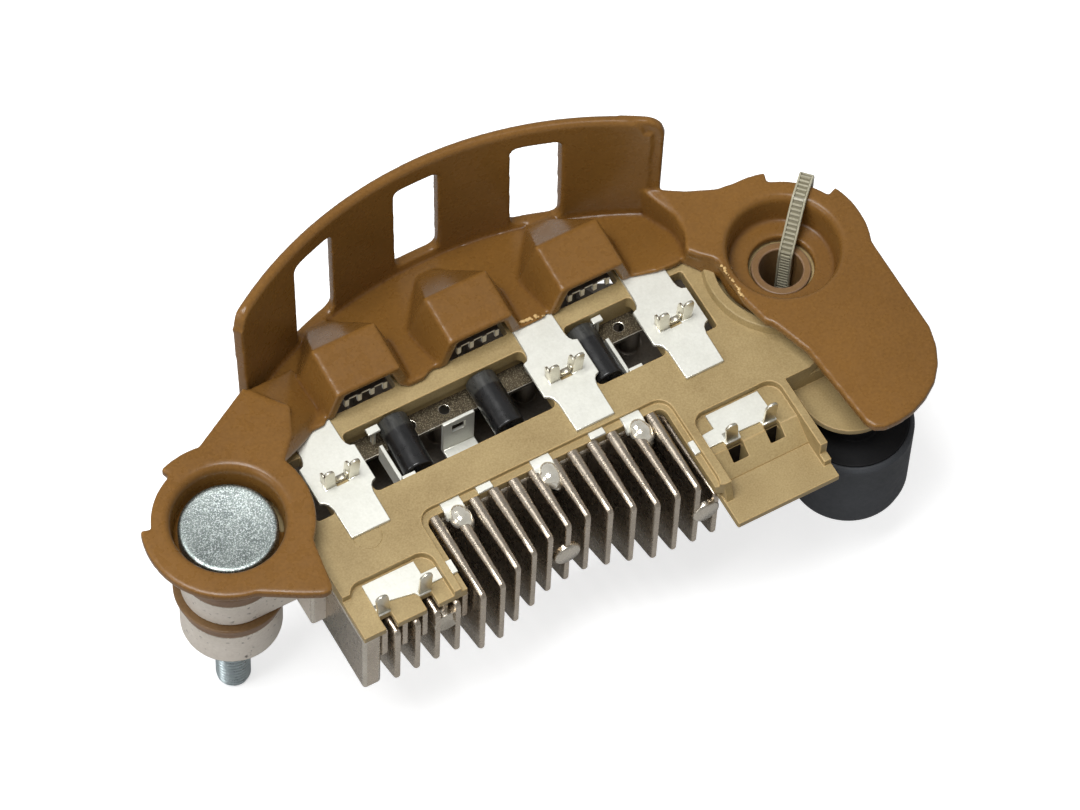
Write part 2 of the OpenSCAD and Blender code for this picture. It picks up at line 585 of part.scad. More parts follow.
module solder_joints() {
  color([0.86, 0.84, 0.76]) up(board_z) difference() {
    for (x = [35.4, 52.3, 69.4]) {
      translate([x, -14.3, -1.7]) sphere(r = 1.65, $fn = 12);
      translate([x + 0.8, -15.2, -1.9]) sphere(r = 1.15, $fn = 12);
    }
    for (x = [35.1, 52, 69.2]) translate([x - 1.8, 0, 0]) rotate([90, 0, 90]) linear_extrude(height = 3.6) lug_profile();
    fins_only();
  }
}

module edge_contacts() {
  color([0.90, 0.89, 0.84]) up(board_z) {
    for (x = [41.4, 62.7]) box(x - 1.4, x + 1.4, -12.3, -11, -1, -0.5);
    box(cut_x[1], cut_x[1] + 1.1, -23, -20.4, -1, -0.4);
    box(cut_x[0] - 1.1, cut_x[0], -23.4, -20.8, -1, -0.4);
  }
}

module cable_tie() {
  // flat strap through the bush, over the rim of the cup and back under the ring
  c = board_z;
  color([0.80, 0.76, 0.66]) translate([bush_x, bush_y, 0]) rotate([0, 0, 44]) rotate([90, 0, 0]) translate([0, 0, -1.25])
    linear_extrude(height = 2.5) difference() {
      polygon([[2.4, -1.6], [13.2, -1.6], [14.9, -1], [15.3, 0.4], [15.3, c + 5.2], [14.6, c + 7], [10.6, c + rim_h + 1.1],
               [9.3, c + rim_h + 0.9], [2.7, c - 0.6], [2.4, c - 1.6]]);
      polygon([[3.5, -0.5], [12.9, -0.5], [13.9, 0], [14.2, 1], [14.2, c + 5], [13.8, c + rim_h], [10.9, c + rim_h],
               [9.7, c + rim_h], [3.6, c - 0.6], [3.5, c - 1.4]]);
    }
}

shield_cover();
terminal_board();
positive_heat_sink();
negative_heat_sink();
b_plus_bolt();
stud_washer();
stud_insulating_cup();
mounting_bush();
condenser_can();
condenser_cap();
phase_terminal_left();
phase_terminal_middle();
phase_terminal_right();
trio_diode_left();
trio_diode_middle();
trio_diode_right();
trio_plate();
trio_bracket();
trio_strip_left();
trio_strip_right();
bay_terminal_left();
bay_terminal_right();
diode_lug_left();
diode_lug_middle();
diode_lug_right();
solder_joints();
edge_contacts();
negative_diode_left();
negative_diode_middle();
negative_diode_right();
cable_tie();
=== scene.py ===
# %% [markdown]
# # An alternator rectifier
# This script dresses a model of an alternator rectifier: the part that turns the alternator's three
# phases into direct current. The solids come from the part's own source and give every size. Here the
# pieces get rounded edges, threads, serrations and finishes, one cell at a time.

# %% Load the solids
import math
import random

import bmesh
import bpy
from mathutils import Matrix, Vector, noise


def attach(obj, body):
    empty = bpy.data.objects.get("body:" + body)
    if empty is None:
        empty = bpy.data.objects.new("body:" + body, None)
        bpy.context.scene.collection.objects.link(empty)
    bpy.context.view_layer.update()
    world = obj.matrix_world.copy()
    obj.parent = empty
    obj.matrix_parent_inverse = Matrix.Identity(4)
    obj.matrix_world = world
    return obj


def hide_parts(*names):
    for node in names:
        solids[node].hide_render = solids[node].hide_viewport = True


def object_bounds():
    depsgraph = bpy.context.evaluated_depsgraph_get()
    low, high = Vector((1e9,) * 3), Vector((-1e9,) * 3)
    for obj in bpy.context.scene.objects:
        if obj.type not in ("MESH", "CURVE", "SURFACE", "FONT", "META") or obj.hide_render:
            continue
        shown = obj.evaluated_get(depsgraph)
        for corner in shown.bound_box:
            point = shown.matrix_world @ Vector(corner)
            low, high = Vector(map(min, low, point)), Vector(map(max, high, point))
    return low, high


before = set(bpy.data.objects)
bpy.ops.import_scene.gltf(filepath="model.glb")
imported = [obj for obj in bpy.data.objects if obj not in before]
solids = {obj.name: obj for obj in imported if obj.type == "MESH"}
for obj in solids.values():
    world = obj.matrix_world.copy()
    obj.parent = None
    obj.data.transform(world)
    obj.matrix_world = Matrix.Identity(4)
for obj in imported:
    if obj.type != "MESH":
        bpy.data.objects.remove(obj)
solid_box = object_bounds()
MM = 0.001
print("solids:", len(solids), "box:", solid_box)

# %% [markdown]
# The lengths below are the driving sizes of the part, in millimetres, with the bolt's axis at the
# origin and the seat under the bolt at height zero. Later cells work out their places from these.

# %% Driving sizes
BOARD = 28.4            # height of the terminal board's top face
BUSH = Vector((106, 1.6, 0))
STATION = 21.2          # spacing of the diode stations
STATIONS = [53.3 + STATION * i for i in (-1, 0, 1)]
TABS = [STATIONS[0] - 11.1, STATIONS[1] + 10, STATIONS[2] + 9.8]
RIM = 6                 # height of the cup rims above the board
low = Vector(solid_box[0]) / MM
high = Vector(solid_box[1]) / MM
print("lowest point %.1f mm, highest %.1f mm" % (low.z, high.z))

# %% [markdown]
# The photograph was taken with a long lens from the front right, sixty degrees above the part. A camera
# is a place, a direction and a lens. The direction is built from three angles, and the place is found
# from one known point, the middle of the bolt head, and how far it lies from the picture's centre.

# %% Camera
AZIMUTH, ELEVATION, ROLL = (math.radians(a) for a in (-32.1, 60.3, 3.2))
PICTURE_WIDTH = 1080
SCALE_AT_BOLT = 6.13    # picture pixels per millimetre at the bolt head
LENS_PIXELS = 6000
bolt_seen_at = Vector((228.2 - 540, 405 - 527.3))

level = Vector((math.cos(AZIMUTH), math.sin(AZIMUTH), 0))
back = Vector((math.sin(AZIMUTH) * math.cos(ELEVATION), -math.cos(AZIMUTH) * math.cos(ELEVATION), math.sin(ELEVATION)))
steep = back.cross(level)
right = level * math.cos(ROLL) + steep * math.sin(ROLL)
upward = steep * math.cos(ROLL) - level * math.sin(ROLL)
bolt_top = Vector((0, 0, BOARD + 3))
place = bolt_top - (right * bolt_seen_at.x + upward * bolt_seen_at.y - back * LENS_PIXELS) / SCALE_AT_BOLT

camera_data = bpy.data.cameras.new("camera")
camera_data.sensor_width = 36
camera_data.lens = 36 * LENS_PIXELS / PICTURE_WIDTH
camera_data.clip_end = 20
camera = bpy.data.objects.new("camera", camera_data)
camera.matrix_world = Matrix.Translation(place * MM) @ Matrix((right, upward, back)).transposed().to_4x4()
bpy.context.collection.objects.link(camera)
bpy.context.scene.camera = camera
bpy.context.scene.view_settings.view_transform = "Standard"
print("camera stands at", [round(v) for v in place], "mm")

# %% [markdown]
# Shiny plated parts only look right when they have something to reflect. A large soft light above and
# behind gives the sheen on the sloping plastic, a weaker one at the left fills the bolt side, and a pale
# world stands for the walls of the studio, darker behind the camera so that the fronts stay deep in tone.
# The floor is pale for the camera, still takes a shadow, and throws little light back up.

# %% Light, world and floor
def soft_light(name, place, aim, size, power, tint=(1, 1, 1)):
    lamp = bpy.data.lights.new(name, "AREA")
    lamp.shape = "RECTANGLE"
    lamp.size, lamp.size_y = size
    lamp.energy = power
    lamp.color = tint
    light = bpy.data.objects.new(name, lamp)
    bpy.context.collection.objects.link(light)
    way = Vector(place) - Vector(aim)
    light.matrix_world = Matrix.Translation(place) @ way.to_track_quat("Z", "Y").to_matrix().to_4x4()
    return light


middle = (0.055, 0, 0.03)
soft_light("overhead_light", (-0.12, -0.02, 0.66), middle, (0.34, 0.32), 4.5)
soft_light("left_light", (-0.5, -0.05, 0.3), middle, (0.2, 0.3), 0.7)


def add(tree, kind, links=None, **settings):
    """Adds a node to a tree; links gives its inputs by name or number, each a value or another node's output."""
    made = tree.nodes.new(kind)
    for key, value in settings.items():
        setattr(made, key, value)
    for key, value in (links or {}).items():
        if isinstance(value, bpy.types.NodeSocket):
            tree.links.new(value, made.inputs[key])
        else:
            made.inputs[key].default_value = value
    return made


world = bpy.data.worlds.new("studio")
bpy.context.scene.world = world
world.use_nodes = True
tree = world.node_tree
tree.nodes.clear()
spot = add(tree, "ShaderNodeTexCoord")
way = add(tree, "ShaderNodeSeparateXYZ", {0: spot.outputs["Generated"]})
glow = add(tree, "ShaderNodeMapRange", {0: way.outputs["Z"], 1: -0.1, 2: 0.8, 3: 0.62, 4: 0.34})
front = add(tree, "ShaderNodeMapRange", {0: way.outputs["Y"], 1: -0.7, 2: 0.3, 3: 0.78, 4: 1.0})
strength = add(tree, "ShaderNodeMath", {0: glow.outputs[0], 1: front.outputs[0]}, operation="MULTIPLY")
walls = add(tree, "ShaderNodeBackground", {"Color": (1, 1, 1, 1), "Strength": strength.outputs[0]})
white = add(tree, "ShaderNodeBackground", {"Color": (1, 1, 1, 1), "Strength": 1.0})
path = add(tree, "ShaderNodeLightPath")
either = add(tree, "ShaderNodeMixShader", {0: path.outputs["Is Camera Ray"], 1: walls.outputs[0], 2: white.outputs[0]})
add(tree, "ShaderNodeOutputWorld", {0: either.outputs[0]})

floor_mesh = bpy.data.meshes.new("floor")
reach = 3
floor_mesh.from_pydata([(-reach, -reach, 0), (reach, -reach, 0), (reach, reach, 0), (-reach, reach, 0)], [], [(0, 1, 2, 3)])
floor = bpy.data.objects.new("floor", floor_mesh)
floor.location.z = (low.z - 0.05) * MM
bpy.context.collection.objects.link(floor)
paper = bpy.data.materials.new("pale_paper")
paper.use_nodes = True
tree = paper.node_tree
tree.nodes.clear()
matt = add(tree, "ShaderNodeBsdfDiffuse", {"Color": (0.8, 0.8, 0.8, 1)})
lit = add(tree, "ShaderNodeEmission", {"Color": (1, 1, 1, 1), "Strength": 0.62})
both = add(tree, "ShaderNodeAddShader", {0: matt.outputs[0], 1: lit.outputs[0]})
path = add(tree, "ShaderNodeLightPath")
dim = add(tree, "ShaderNodeBsdfDiffuse", {"Color": (0.42, 0.42, 0.42, 1)})
show = add(tree, "ShaderNodeMixShader", {0: path.outputs["Is Camera Ray"], 1: dim.outputs[0], 2: both.outputs[0]})
add(tree, "ShaderNodeOutputMaterial", {0: show.outputs[0]})
floor_mesh.materials.append(paper)
print("floor at %.2f mm" % (floor.location.z / MM))

# %% [markdown]
# Every finish on this part is a mix of the same things: a colour that drifts a little, a fine grain, a
# roughness that isn't even, and a faint relief. One helper makes such a finish from a few numbers, so
# that each material below is a short line that says what the real surface is like.

# %% A helper for finishes
def colour(r, g, b):
    """A colour given as it looks on screen, from 0 to 255, as the renderer wants it."""
    def part(v):
        v /= 255
        return v / 12.92 if v <= 0.04045 else ((v + 0.055) / 1.055) ** 2.4
    return (part(r), part(g), part(b), 1)


def blank(name, metal=0.0, coat=0.0):
    made = bpy.data.materials.new(name)
    made.use_nodes = True
    tree = made.node_tree
    tree.nodes.clear()
    shader = add(tree, "ShaderNodeBsdfPrincipled", {"Metallic": metal, "Coat Weight": coat, "Coat Roughness": 0.2})
    add(tree, "ShaderNodeOutputMaterial", {0: shader.outputs[0]})
    return made, tree, shader


def grain(tree, size, detail=4, stretch=(1, 1, 1), centre=0.5, contrast=1.0, low=0.0, high=1.0):
    """Noise with features of about that size in millimetres, spread from low to high."""
    spot = add(tree, "ShaderNodeTexCoord")
    scaled = add(tree, "ShaderNodeMapping", {0: spot.outputs["Object"], "Scale": stretch})
    field = add(tree, "ShaderNodeTexNoise", {"Vector": scaled.outputs[0], "Scale": 1 / (size * MM), "Detail": detail})
    half = 0.25 / contrast
    return add(tree, "ShaderNodeMapRange", {0: field.outputs[0], 1: centre - half, 2: centre + half, 3: low, 4: high}).outputs[0]


def blend_colours(tree, factor, first, second):
    mixed = add(tree, "ShaderNodeMix", {0: factor}, data_type="RGBA")
    for number, value in ((6, first), (7, second)):
        if isinstance(value, bpy.types.NodeSocket):
            tree.links.new(value, mixed.inputs[number])
        else:
            mixed.inputs[number].default_value = value
    return mixed.outputs[2]


def relief(tree, shader, height, depth, strength=1.0):
    bump = add(tree, "ShaderNodeBump", {"Height": height, "Distance": depth * MM, "Strength": strength})
    tree.links.new(bump.outputs[0], shader.inputs["Normal"])
    return bump


def finish(name, dark, light, metal=0.0, rough=(0.4, 0.5), fine=0.35, broad=9, speckle=None, depth=0.01, stretch=(1, 1, 1), coat=0.0, wear_and_highlight=None,
           shaded=None, specular=0.5):
    """A finish that drifts from dark to light over broad patches and a fine grain, with an optional speckle colour.
    Where the mesh's own bend attribute is high, edges get a lighter colour, partly wear and partly a painted
    highlight;
    where it is low, corners get the shaded colour, a painted shade."""
    made, tree, shader = blank(name, metal, coat)
    shader.inputs["Specular IOR Level"].default_value = specular
    drift = grain(tree, broad, 3)
    fine_grain = grain(tree, fine, 5, stretch)
    together = add(tree, "ShaderNodeMath", {0: drift, 1: fine_grain}, operation="ADD")
    halved = add(tree, "ShaderNodeMath", {0: together.outputs[0], 1: 0.5}, operation="MULTIPLY")
    tint = blend_colours(tree, halved.outputs[0], dark, light)
    if speckle:
        spots = grain(tree, fine * 1.7, 2, stretch, centre=speckle[1], contrast=3.0)
        tint = blend_colours(tree, spots, tint, speckle[0])
    # a high bend makes edges lighter, partly wear and partly a painted highlight; a low bend paints shade into corners
    if wear_and_highlight:
        bend = add(tree, "ShaderNodeAttribute", attribute_name="bend").outputs["Fac"]
        edge = add(tree, "ShaderNodeMapRange", {0: bend, 1: 0.06, 2: 0.22, 4: 0.55})
        corner = add(tree, "ShaderNodeMapRange", {0: bend, 1: -0.02, 2: -0.12})
        tint = blend_colours(tree, edge.outputs[0], tint, wear_and_highlight)
        tint = blend_colours(tree, corner.outputs[0], tint, shaded)
    tree.links.new(tint, shader.inputs["Base Color"])
    tree.links.new(grain(tree, fine * 4, 3, stretch, low=rough[0], high=rough[1]), shader.inputs["Roughness"])
    relief(tree, shader, fine_grain, depth)
    return made


print("finish helper ready")

# %% [markdown]
# The shield and the board are two different mouldings. The shield is a warm brown phenolic with a soft
# gloss, the board a paler tan that is almost matt. The board's bevelled edges take a slightly lighter finish.
# The shield's outward edges are lighter, partly wear and partly a painted highlight, and its hollows carry
# painted shade.

# %% Plastics
shield_brown = finish("shield_brown", colour(102, 70, 30), colour(130, 92, 43), rough=(0.22, 0.36), fine=0.5, broad=22, depth=0.004,
                      wear_and_highlight=colour(168, 124, 66), shaded=colour(74, 44, 16), specular=0.3)
shield_edge = finish("shield_edge", colour(150, 100, 48), colour(172, 120, 62), rough=(0.3, 0.45), fine=0.4, broad=8, depth=0.01)
board_tan = finish("board_tan", colour(130, 108, 66), colour(178, 157, 111), rough=(0.42, 0.58), fine=0.3, broad=11, depth=0.008)
board_edge = finish("board_edge", colour(160, 134, 88), colour(184, 158, 108), rough=(0.4, 0.55), fine=0.3, broad=8, depth=0.01)
washer_tan = finish("washer_tan", colour(112, 82, 54), colour(146, 118, 92), rough=(0.4, 0.6), fine=0.6, broad=5, depth=0.02)
bush_brown = finish("bush_brown", colour(108, 78, 44), colour(136, 104, 64), rough=(0.35, 0.5), fine=0.4, broad=5, depth=0.02)
# the tie's shaded colour is painted shade in the toothed channel
nylon = finish("tie_nylon", colour(152, 147, 124), colour(182, 176, 154), rough=(0.3, 0.45), fine=0.4, broad=4, depth=0.01,
               wear_and_highlight=colour(196, 190, 168), shaded=colour(120, 114, 93))
flash = finish("mould_flash", colour(176, 140, 82), colour(216, 184, 128), rough=(0.4, 0.6), fine=0.2, broad=2, depth=0.02)
slot_dark = finish("slot_shadow", colour(34, 27, 18), colour(52, 42, 30), rough=(0.6, 0.8), fine=0.3, broad=4, depth=0.01)
rubber_black = finish("condenser_sleeve", colour(54, 56, 59), colour(70, 72, 76), rough=(0.6, 0.75), fine=0.25, broad=8, depth=0.01, specular=0.3)
cap_black = finish("condenser_cap", colour(11, 11, 13), colour(18, 18, 20), rough=(0.6, 0.75), fine=0.25, broad=6, depth=0.01, specular=0.25)

# %% [markdown]
# The castings, terminals, strips and solder are all bright metal, but each has its own grain: dull white
# tin on the terminals, speckled tin on the plate under the slots, cast skin on the heat sink.

# %% Metals
cast_metal = finish("cast_plated", colour(162, 150, 134), colour(210, 198, 182), metal=1, rough=(0.22, 0.36), fine=0.2, broad=7,
                    speckle=(colour(214, 202, 176), 0.66), depth=0.012)
# a darker, duller cast finish that paints the shade on the plate under the board and on the diode strips' plates
cast_dull = finish("cast_dull", colour(104, 98, 90), colour(140, 133, 123), metal=0.9, rough=(0.4, 0.55), fine=0.5, broad=6, depth=0.02)
cast_skin = finish("cast_skin", colour(208, 198, 185), colour(232, 224, 213), metal=0.2, rough=(0.42, 0.56), fine=0.6, broad=6,
                   speckle=(colour(96, 86, 74), 0.72), depth=0.03)
cast_edge = finish("cast_edge", colour(190, 182, 168), colour(226, 218, 204), metal=1, rough=(0.2, 0.34), fine=0.4, broad=5, depth=0.02)
white_tin = finish("white_tin", colour(214, 214, 204), colour(234, 234, 226), metal=0.55, rough=(0.5, 0.62), fine=0.45, broad=6, depth=0.008)
tin_edge = finish("tin_edge", colour(200, 198, 184), colour(236, 234, 222), metal=0.8, rough=(0.25, 0.4), fine=0.3, broad=4, depth=0.01)
prong_tin = finish("prong_tin", colour(196, 190, 172), colour(230, 226, 212), metal=1, rough=(0.3, 0.42), fine=0.3, broad=3, depth=0.005)
bright_strip = finish("bright_strip", colour(224, 218, 200), colour(248, 244, 232), metal=0.8, rough=(0.16, 0.3), fine=0.5, broad=3, depth=0.01)
speckled_tin = finish("speckled_tin", colour(66, 59, 48), colour(104, 95, 79), metal=1, rough=(0.3, 0.5), fine=0.12, broad=4,
                      speckle=(colour(160, 148, 122), 0.6), depth=0.02)
solder_bright = finish("solder_bright", colour(226, 219, 200), colour(252, 249, 238), metal=0.75, rough=(0.08, 0.16), fine=0.8, broad=2, depth=0.02)
zinc = finish("zinc_plate", colour(74, 84, 84), colour(164, 174, 170), metal=1, rough=(0.3, 0.46), fine=0.12, broad=3,
              speckle=(colour(216, 224, 222), 0.56), depth=0.02)
# the thread's crests take a painted highlight and its roots a painted shade, set by the stud's bend attribute
zinc_thread = finish("zinc_thread", colour(150, 163, 168), colour(190, 202, 204), metal=1, rough=(0.24, 0.36), fine=0.2, broad=3,
                     wear_and_highlight=colour(214, 224, 226), shaded=colour(58, 68, 72), depth=0.005)
zinc_edge = finish("zinc_edge", colour(180, 190, 190), colour(226, 232, 230), metal=1, rough=(0.2, 0.32), fine=0.4, broad=3, depth=0.01)

# %% [markdown]
# The small diodes are moulded in glossy black epoxy, with a paler band at the end that faces the shield.
# The band is set by height along the body, read from Object coordinates, and adds no shape.

# %% Diode epoxy
epoxy, tree, shader = blank("diode_epoxy", coat=0.3)
spot = add(tree, "ShaderNodeTexCoord")
along = add(tree, "ShaderNodeSeparateXYZ", {0: spot.outputs["Object"]})
band = add(tree, "ShaderNodeMapRange", {0: along.outputs["Y"], 1: 4.6 * MM, 2: 5.0 * MM})
dust = grain(tree, 0.5, 5, (1, 0.3, 1))
black = blend_colours(tree, dust, colour(9, 9, 10), colour(24, 24, 25))
grey = blend_colours(tree, dust, colour(36, 36, 35), colour(66, 66, 62))
tree.links.new(blend_colours(tree, band.outputs[0], black, grey), shader.inputs["Base Color"])
tree.links.new(grain(tree, 1.2, 4, low=0.22, high=0.4), shader.inputs["Roughness"])
relief(tree, shader, dust, 0.008)
print("materials:", len(bpy.data.materials))

# %% [markdown]
# The solids have knife-sharp edges, and nothing cast, moulded or stamped does. A rounded copy merges the
# solid's loose triangles, cleans its flat faces and bevels every edge that turns by more than a set
# angle. A bevel can't be wider than the faces beside it, or it folds over, so each edge first gets a
# weight from the room around it. The bevel's own faces take a second, lighter finish.

# %% Rounded copies of the solids
def as_object(name, mesh, *materials):
    made = bpy.data.objects.new(name, mesh)
    bpy.context.collection.objects.link(made)
    for material in materials:
        mesh.materials.append(material)
    return made


def applied(made):
    """Turns an object's modifiers into its plain mesh."""
    bpy.context.view_layer.update()
    seen = made.evaluated_get(bpy.context.evaluated_depsgraph_get())
    mesh = bpy.data.meshes.new_from_object(seen)
    old = made.data
    made.modifiers.clear()
    made.data = mesh
    bpy.data.meshes.remove(old)
    return made


def room_across(edge, face, sharp):
    """How far it is from the middle of an edge, straight across a face, with room left for a bevel there."""
    loop = next(l for l in face.loops if l.edge == edge)
    middle = (edge.verts[0].co + edge.verts[1].co) / 2
    along = (loop.link_loop_next.vert.co - loop.vert.co).normalized()
    inward = face.normal.cross(along)
    nearest, share = 1.0, 0.85
    for other in face.loops:
        a, b = other.vert.co - middle, other.link_loop_next.vert.co - middle
        ax, bx = a.dot(along), b.dot(along)
        if other.edge != edge and (ax <= 0) != (bx <= 0):
            y = a.dot(inward) + (b.dot(inward) - a.dot(inward)) * ax / (ax - bx)
            if 1e-8 < y < nearest:
                nearest, share = y, 0.45 if other.edge in sharp else 0.85
    return nearest * share


def room_at_ends(edge, face, sharp):
    """How wide a bevel may be before it eats up the edges that meet this one's ends."""
    loop = next(l for l in face.loops if l.edge == edge)
    room = 1.0
    for near, corner in ((loop.link_loop_next.edge, loop.link_loop_next.vert), (loop.link_loop_prev.edge, loop.vert)):
        a = edge.other_vert(corner).co - corner.co
        b = near.other_vert(corner).co - corner.co
        turn = a.angle(b, 0)
        if near in sharp and turn > 2.3:
            room = min(room, 0.45 * min(a.length, b.length) / max(math.tan((math.pi - turn) / 2), 1e-3))
        else:
            shared = near in sharp or any(e in sharp for e in near.other_vert(corner).link_edges)
            room = min(room, (0.45 if shared else 0.85) * b.length * max(math.sin(turn), 0.05))
    return room


def weigh_edges(work, width, turn):
    """Gives each sharp edge the share of the bevel's width that fits there, and lets it change only slowly along a rim."""
    layer = work.edges.layers.float.new("bevel_weight_edge")
    sharp = {e for e in work.edges if len(e.link_faces) == 2 and e.calc_face_angle() > math.radians(turn)}
    safe = {e: min([width] + [rule(e, f, sharp) for f in e.link_faces for rule in (room_across, room_at_ends)]) for e in sharp}
    for _ in range(10):
        safe = {e: min([room] + [safe[n] * 1.3 + width * 0.03 for v in e.verts for n in v.link_edges if n in safe and n is not e])
                for e, room in safe.items()}
    for e, room in safe.items():
        e[layer] = max(0.0, min(1.0, room / width))


def soften(made, width, turn=30, steps=3, edge_slot=0):
    """Bevels the sharp edges by their weights and weighs the normals, so flat faces stay flat."""
    work = bmesh.new()
    work.from_mesh(made.data)
    work.normal_update()
    weigh_edges(work, width * MM, turn)
    work.to_mesh(made.data)
    work.free()
    bevel = made.modifiers.new("edges", "BEVEL")
    bevel.width = width * MM
    bevel.segments = steps
    bevel.limit_method = "WEIGHT"
    bevel.use_clamp_overlap = False
    bevel.loop_slide = False
    bevel.material = edge_slot
    return smooth_and_flat(made)


def smooth_and_flat(made):
    """Smooth shading that still keeps large faces flat, because each normal leans to the largest face beside it."""
    made.data.shade_smooth()
    made.data.set_sharp_from_angle(angle=math.radians(50))
    weigh = made.modifiers.new("normals", "WEIGHTED_NORMAL")
    weigh.keep_sharp = True
    return applied(made)


def clean_copy(node, merge):
    """A copy of a solid with its triangles joined into whole faces."""
    mesh = solids[node].data.copy()
    mesh.materials.clear()
    work = bmesh.new()
    work.from_mesh(mesh)
    bmesh.ops.remove_doubles(work, verts=work.verts, dist=merge * MM)
    bmesh.ops.dissolve_degenerate(work, edges=work.edges, dist=merge * MM)
    bmesh.ops.dissolve_limit(work, angle_limit=math.radians(0.6), verts=work.verts, edges=work.edges)
    work.to_mesh(mesh)
    work.free()
    for attribute in [a.name for a in mesh.attributes if a.name in ("custom_normal", "sharp_edge", "sharp_face")]:
        mesh.attributes.remove(mesh.attributes[attribute])
    return mesh


def rounded(node, width, face, edge=None, turn=30, steps=3):
    made = as_object("dressed_" + node, clean_copy(node, 0.03 if width > 0.15 else 0.004), face, edge or face)
    soften(made, width, turn, steps, 1)
    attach(made, "root")
    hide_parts(node)
    return made


def loft(name, sections, *materials):
    """Joins rings of points, each with the same count, and closes both ends."""
    work = bmesh.new()
    rings = [[work.verts.new(p) for p in ring] for ring in sections]
    for first, second in zip(rings, rings[1:]):
        for k in range(len(first)):
            n = (k + 1) % len(first)
            work.faces.new((first[k], first[n], second[n], second[k]))
    work.faces.new(rings[0])
    work.faces.new(rings[-1])
    bmesh.ops.recalc_face_normals(work, faces=work.faces)
    mesh = bpy.data.meshes.new(name)
    work.to_mesh(mesh)
    work.free()
    return as_object(name, mesh, *materials)


print("rounding helper ready")

# %% [markdown]
# Most pieces only need their edges rounded. Each line names the solid, the radius of its edges in
# millimetres, the finish of its faces, the finish of its edges, and the record's material slot.

# %% Pieces that keep their solid's shape
jobs = [
    ("terminal_board", 0.18, board_tan, board_edge, "board_plastic"),
    ("negative_heat_sink", 0.4, cast_skin, cast_edge, "cast_plated"),
    ("stud_washer", 0.3, washer_tan, washer_tan, "insulator_tan"),
    ("stud_insulating_cup", 0.25, washer_tan, washer_tan, "insulator_tan"),
    ("mounting_bush", 0.25, bush_brown, washer_tan, "insulator_tan"),
    ("condenser_can", 0.25, rubber_black, rubber_black, "condenser_can"),
    ("condenser_cap", 0.2, cap_black, cap_black, "condenser_cap"),
    ("trio_plate", 0.1, speckled_tin, bright_strip, "speckled_tin"),
    ("trio_bracket", 0.12, white_tin, tin_edge, "bright_strip"),
    ("edge_contacts", 0.08, white_tin, tin_edge, "bright_strip"),
    ("bay_terminal_left", 0.1, white_tin, tin_edge, "tinned_sheet"),
    ("bay_terminal_right", 0.1, white_tin, tin_edge, "tinned_sheet"),
]
for side in ("left", "middle", "right"):
    jobs += [("phase_terminal_" + side, 0.1, white_tin, tin_edge, "tinned_sheet"),
             ("trio_diode_" + side, 0.35, epoxy, epoxy, "diode_epoxy"),
             ("diode_lug_" + side, 0.08, white_tin, tin_edge, "bright_strip"),
             ("negative_diode_" + side, 0.1, white_tin, tin_edge, "bright_strip")]
for side in ("left", "right"):
    jobs.append(("trio_strip_" + side, 0.08, white_tin, tin_edge, "bright_strip"))
for node, width, face, edge, slot_name in jobs:
    made = rounded(node, width, face, edge)
    if node.startswith("negative_diode"):
        # the strip's own plate is in the shade and dull, its ends are bright
        made.data.materials.append(cast_dull)
        for face in made.data.polygons:
            if face.center.z > (BOARD + 2.3) * MM and face.normal.z > 0.5 or face.center.z < (BOARD + 0.4) * MM:
                face.material_index = 2
    if node == "stud_insulating_cup":
        # the ledge that faces up is browner than the turned side
        made.data.materials.append(bush_brown)
        for face in made.data.polygons:
            if face.normal.z > 0.4:
                face.material_index = 2
    if node == "negative_heat_sink":
        # the plate under the board is painted darker and duller than the two turned rings, as painted shade under the
        # board
        made.data.materials.append(cast_dull)
        for face in made.data.polygons:
            x, y, z = face.center / MM
            if 9 < x < 96 and z < 9.2 or z > 9.2:
                face.material_index = 2
print("rounded pieces:", len(jobs))

# %% [markdown]
# The shield is one moulding of many surfaces that run into each other at all angles, which is more than a
# bevel can follow. Its copy is turned into small equal cells, relaxed until every edge and inner corner is
# round, and thinned out again where it's flat. Each point then gets a number that says how strongly the
# surface bends outwards there, and the finish shows those edges lighter, partly as wear and partly as a
# painted highlight, and the hollows where it bends inwards darker, as painted shade.

# %% Shield
def cut_away(made, name, outline, z0, z1):
    """Cuts a piece along an upright wall that has the given plan outline."""
    knife = loft(name, [[(x * MM, y * MM, z * MM) for x, y in outline] for z in (z0, z1)])
    cut = made.modifiers.new(name, "BOOLEAN")
    cut.object = knife
    cut.solver = "EXACT"
    applied(made)
    bpy.data.objects.remove(knife)


WALL_X, WALL_Y, WALL_R, WALL_LEAN, WALL_H, SHEET = 54, -34.8, 67.9, 0.045, 25, 2
shield = as_object("dressed_shield", clean_copy("shield_cover", 0.004))

# a last length of wall that ends in a full round corner, merged with the rest by the cells below
first_end, last_end = (math.acos((x - WALL_X) / WALL_R) for x in (86.5, 93.0))
tail = []
for k in range(15):
    a = last_end + (first_end - last_end) * k / 14
    inside = (a - last_end) * WALL_R
    top = WALL_H - 0.12 - (3.4 - math.sqrt(max(0.0, 3.4 ** 2 - (3.4 - inside) ** 2)) if inside < 3.4 else 0)
    ring = []
    for z, side in ((-4, 0), (-4, 1), (top - 0.25, 1), (top, 0.8), (top, 0.2), (top - 0.25, 0)):
        r = WALL_R + max(0, z) * WALL_LEAN + (0.5 if z > top - 1 else 0) * (1 - side) + SHEET * side
        ring.append(((WALL_X + r * math.cos(a)) * MM, (WALL_Y + r * math.sin(a)) * MM, (BOARD + z) * MM))
    tail.append(ring)
wall_tail = loft("wall_tail", tail)
work = bmesh.new()
work.from_mesh(shield.data)
work.from_mesh(wall_tail.data)
work.to_mesh(shield.data)
work.free()
bpy.data.objects.remove(wall_tail)
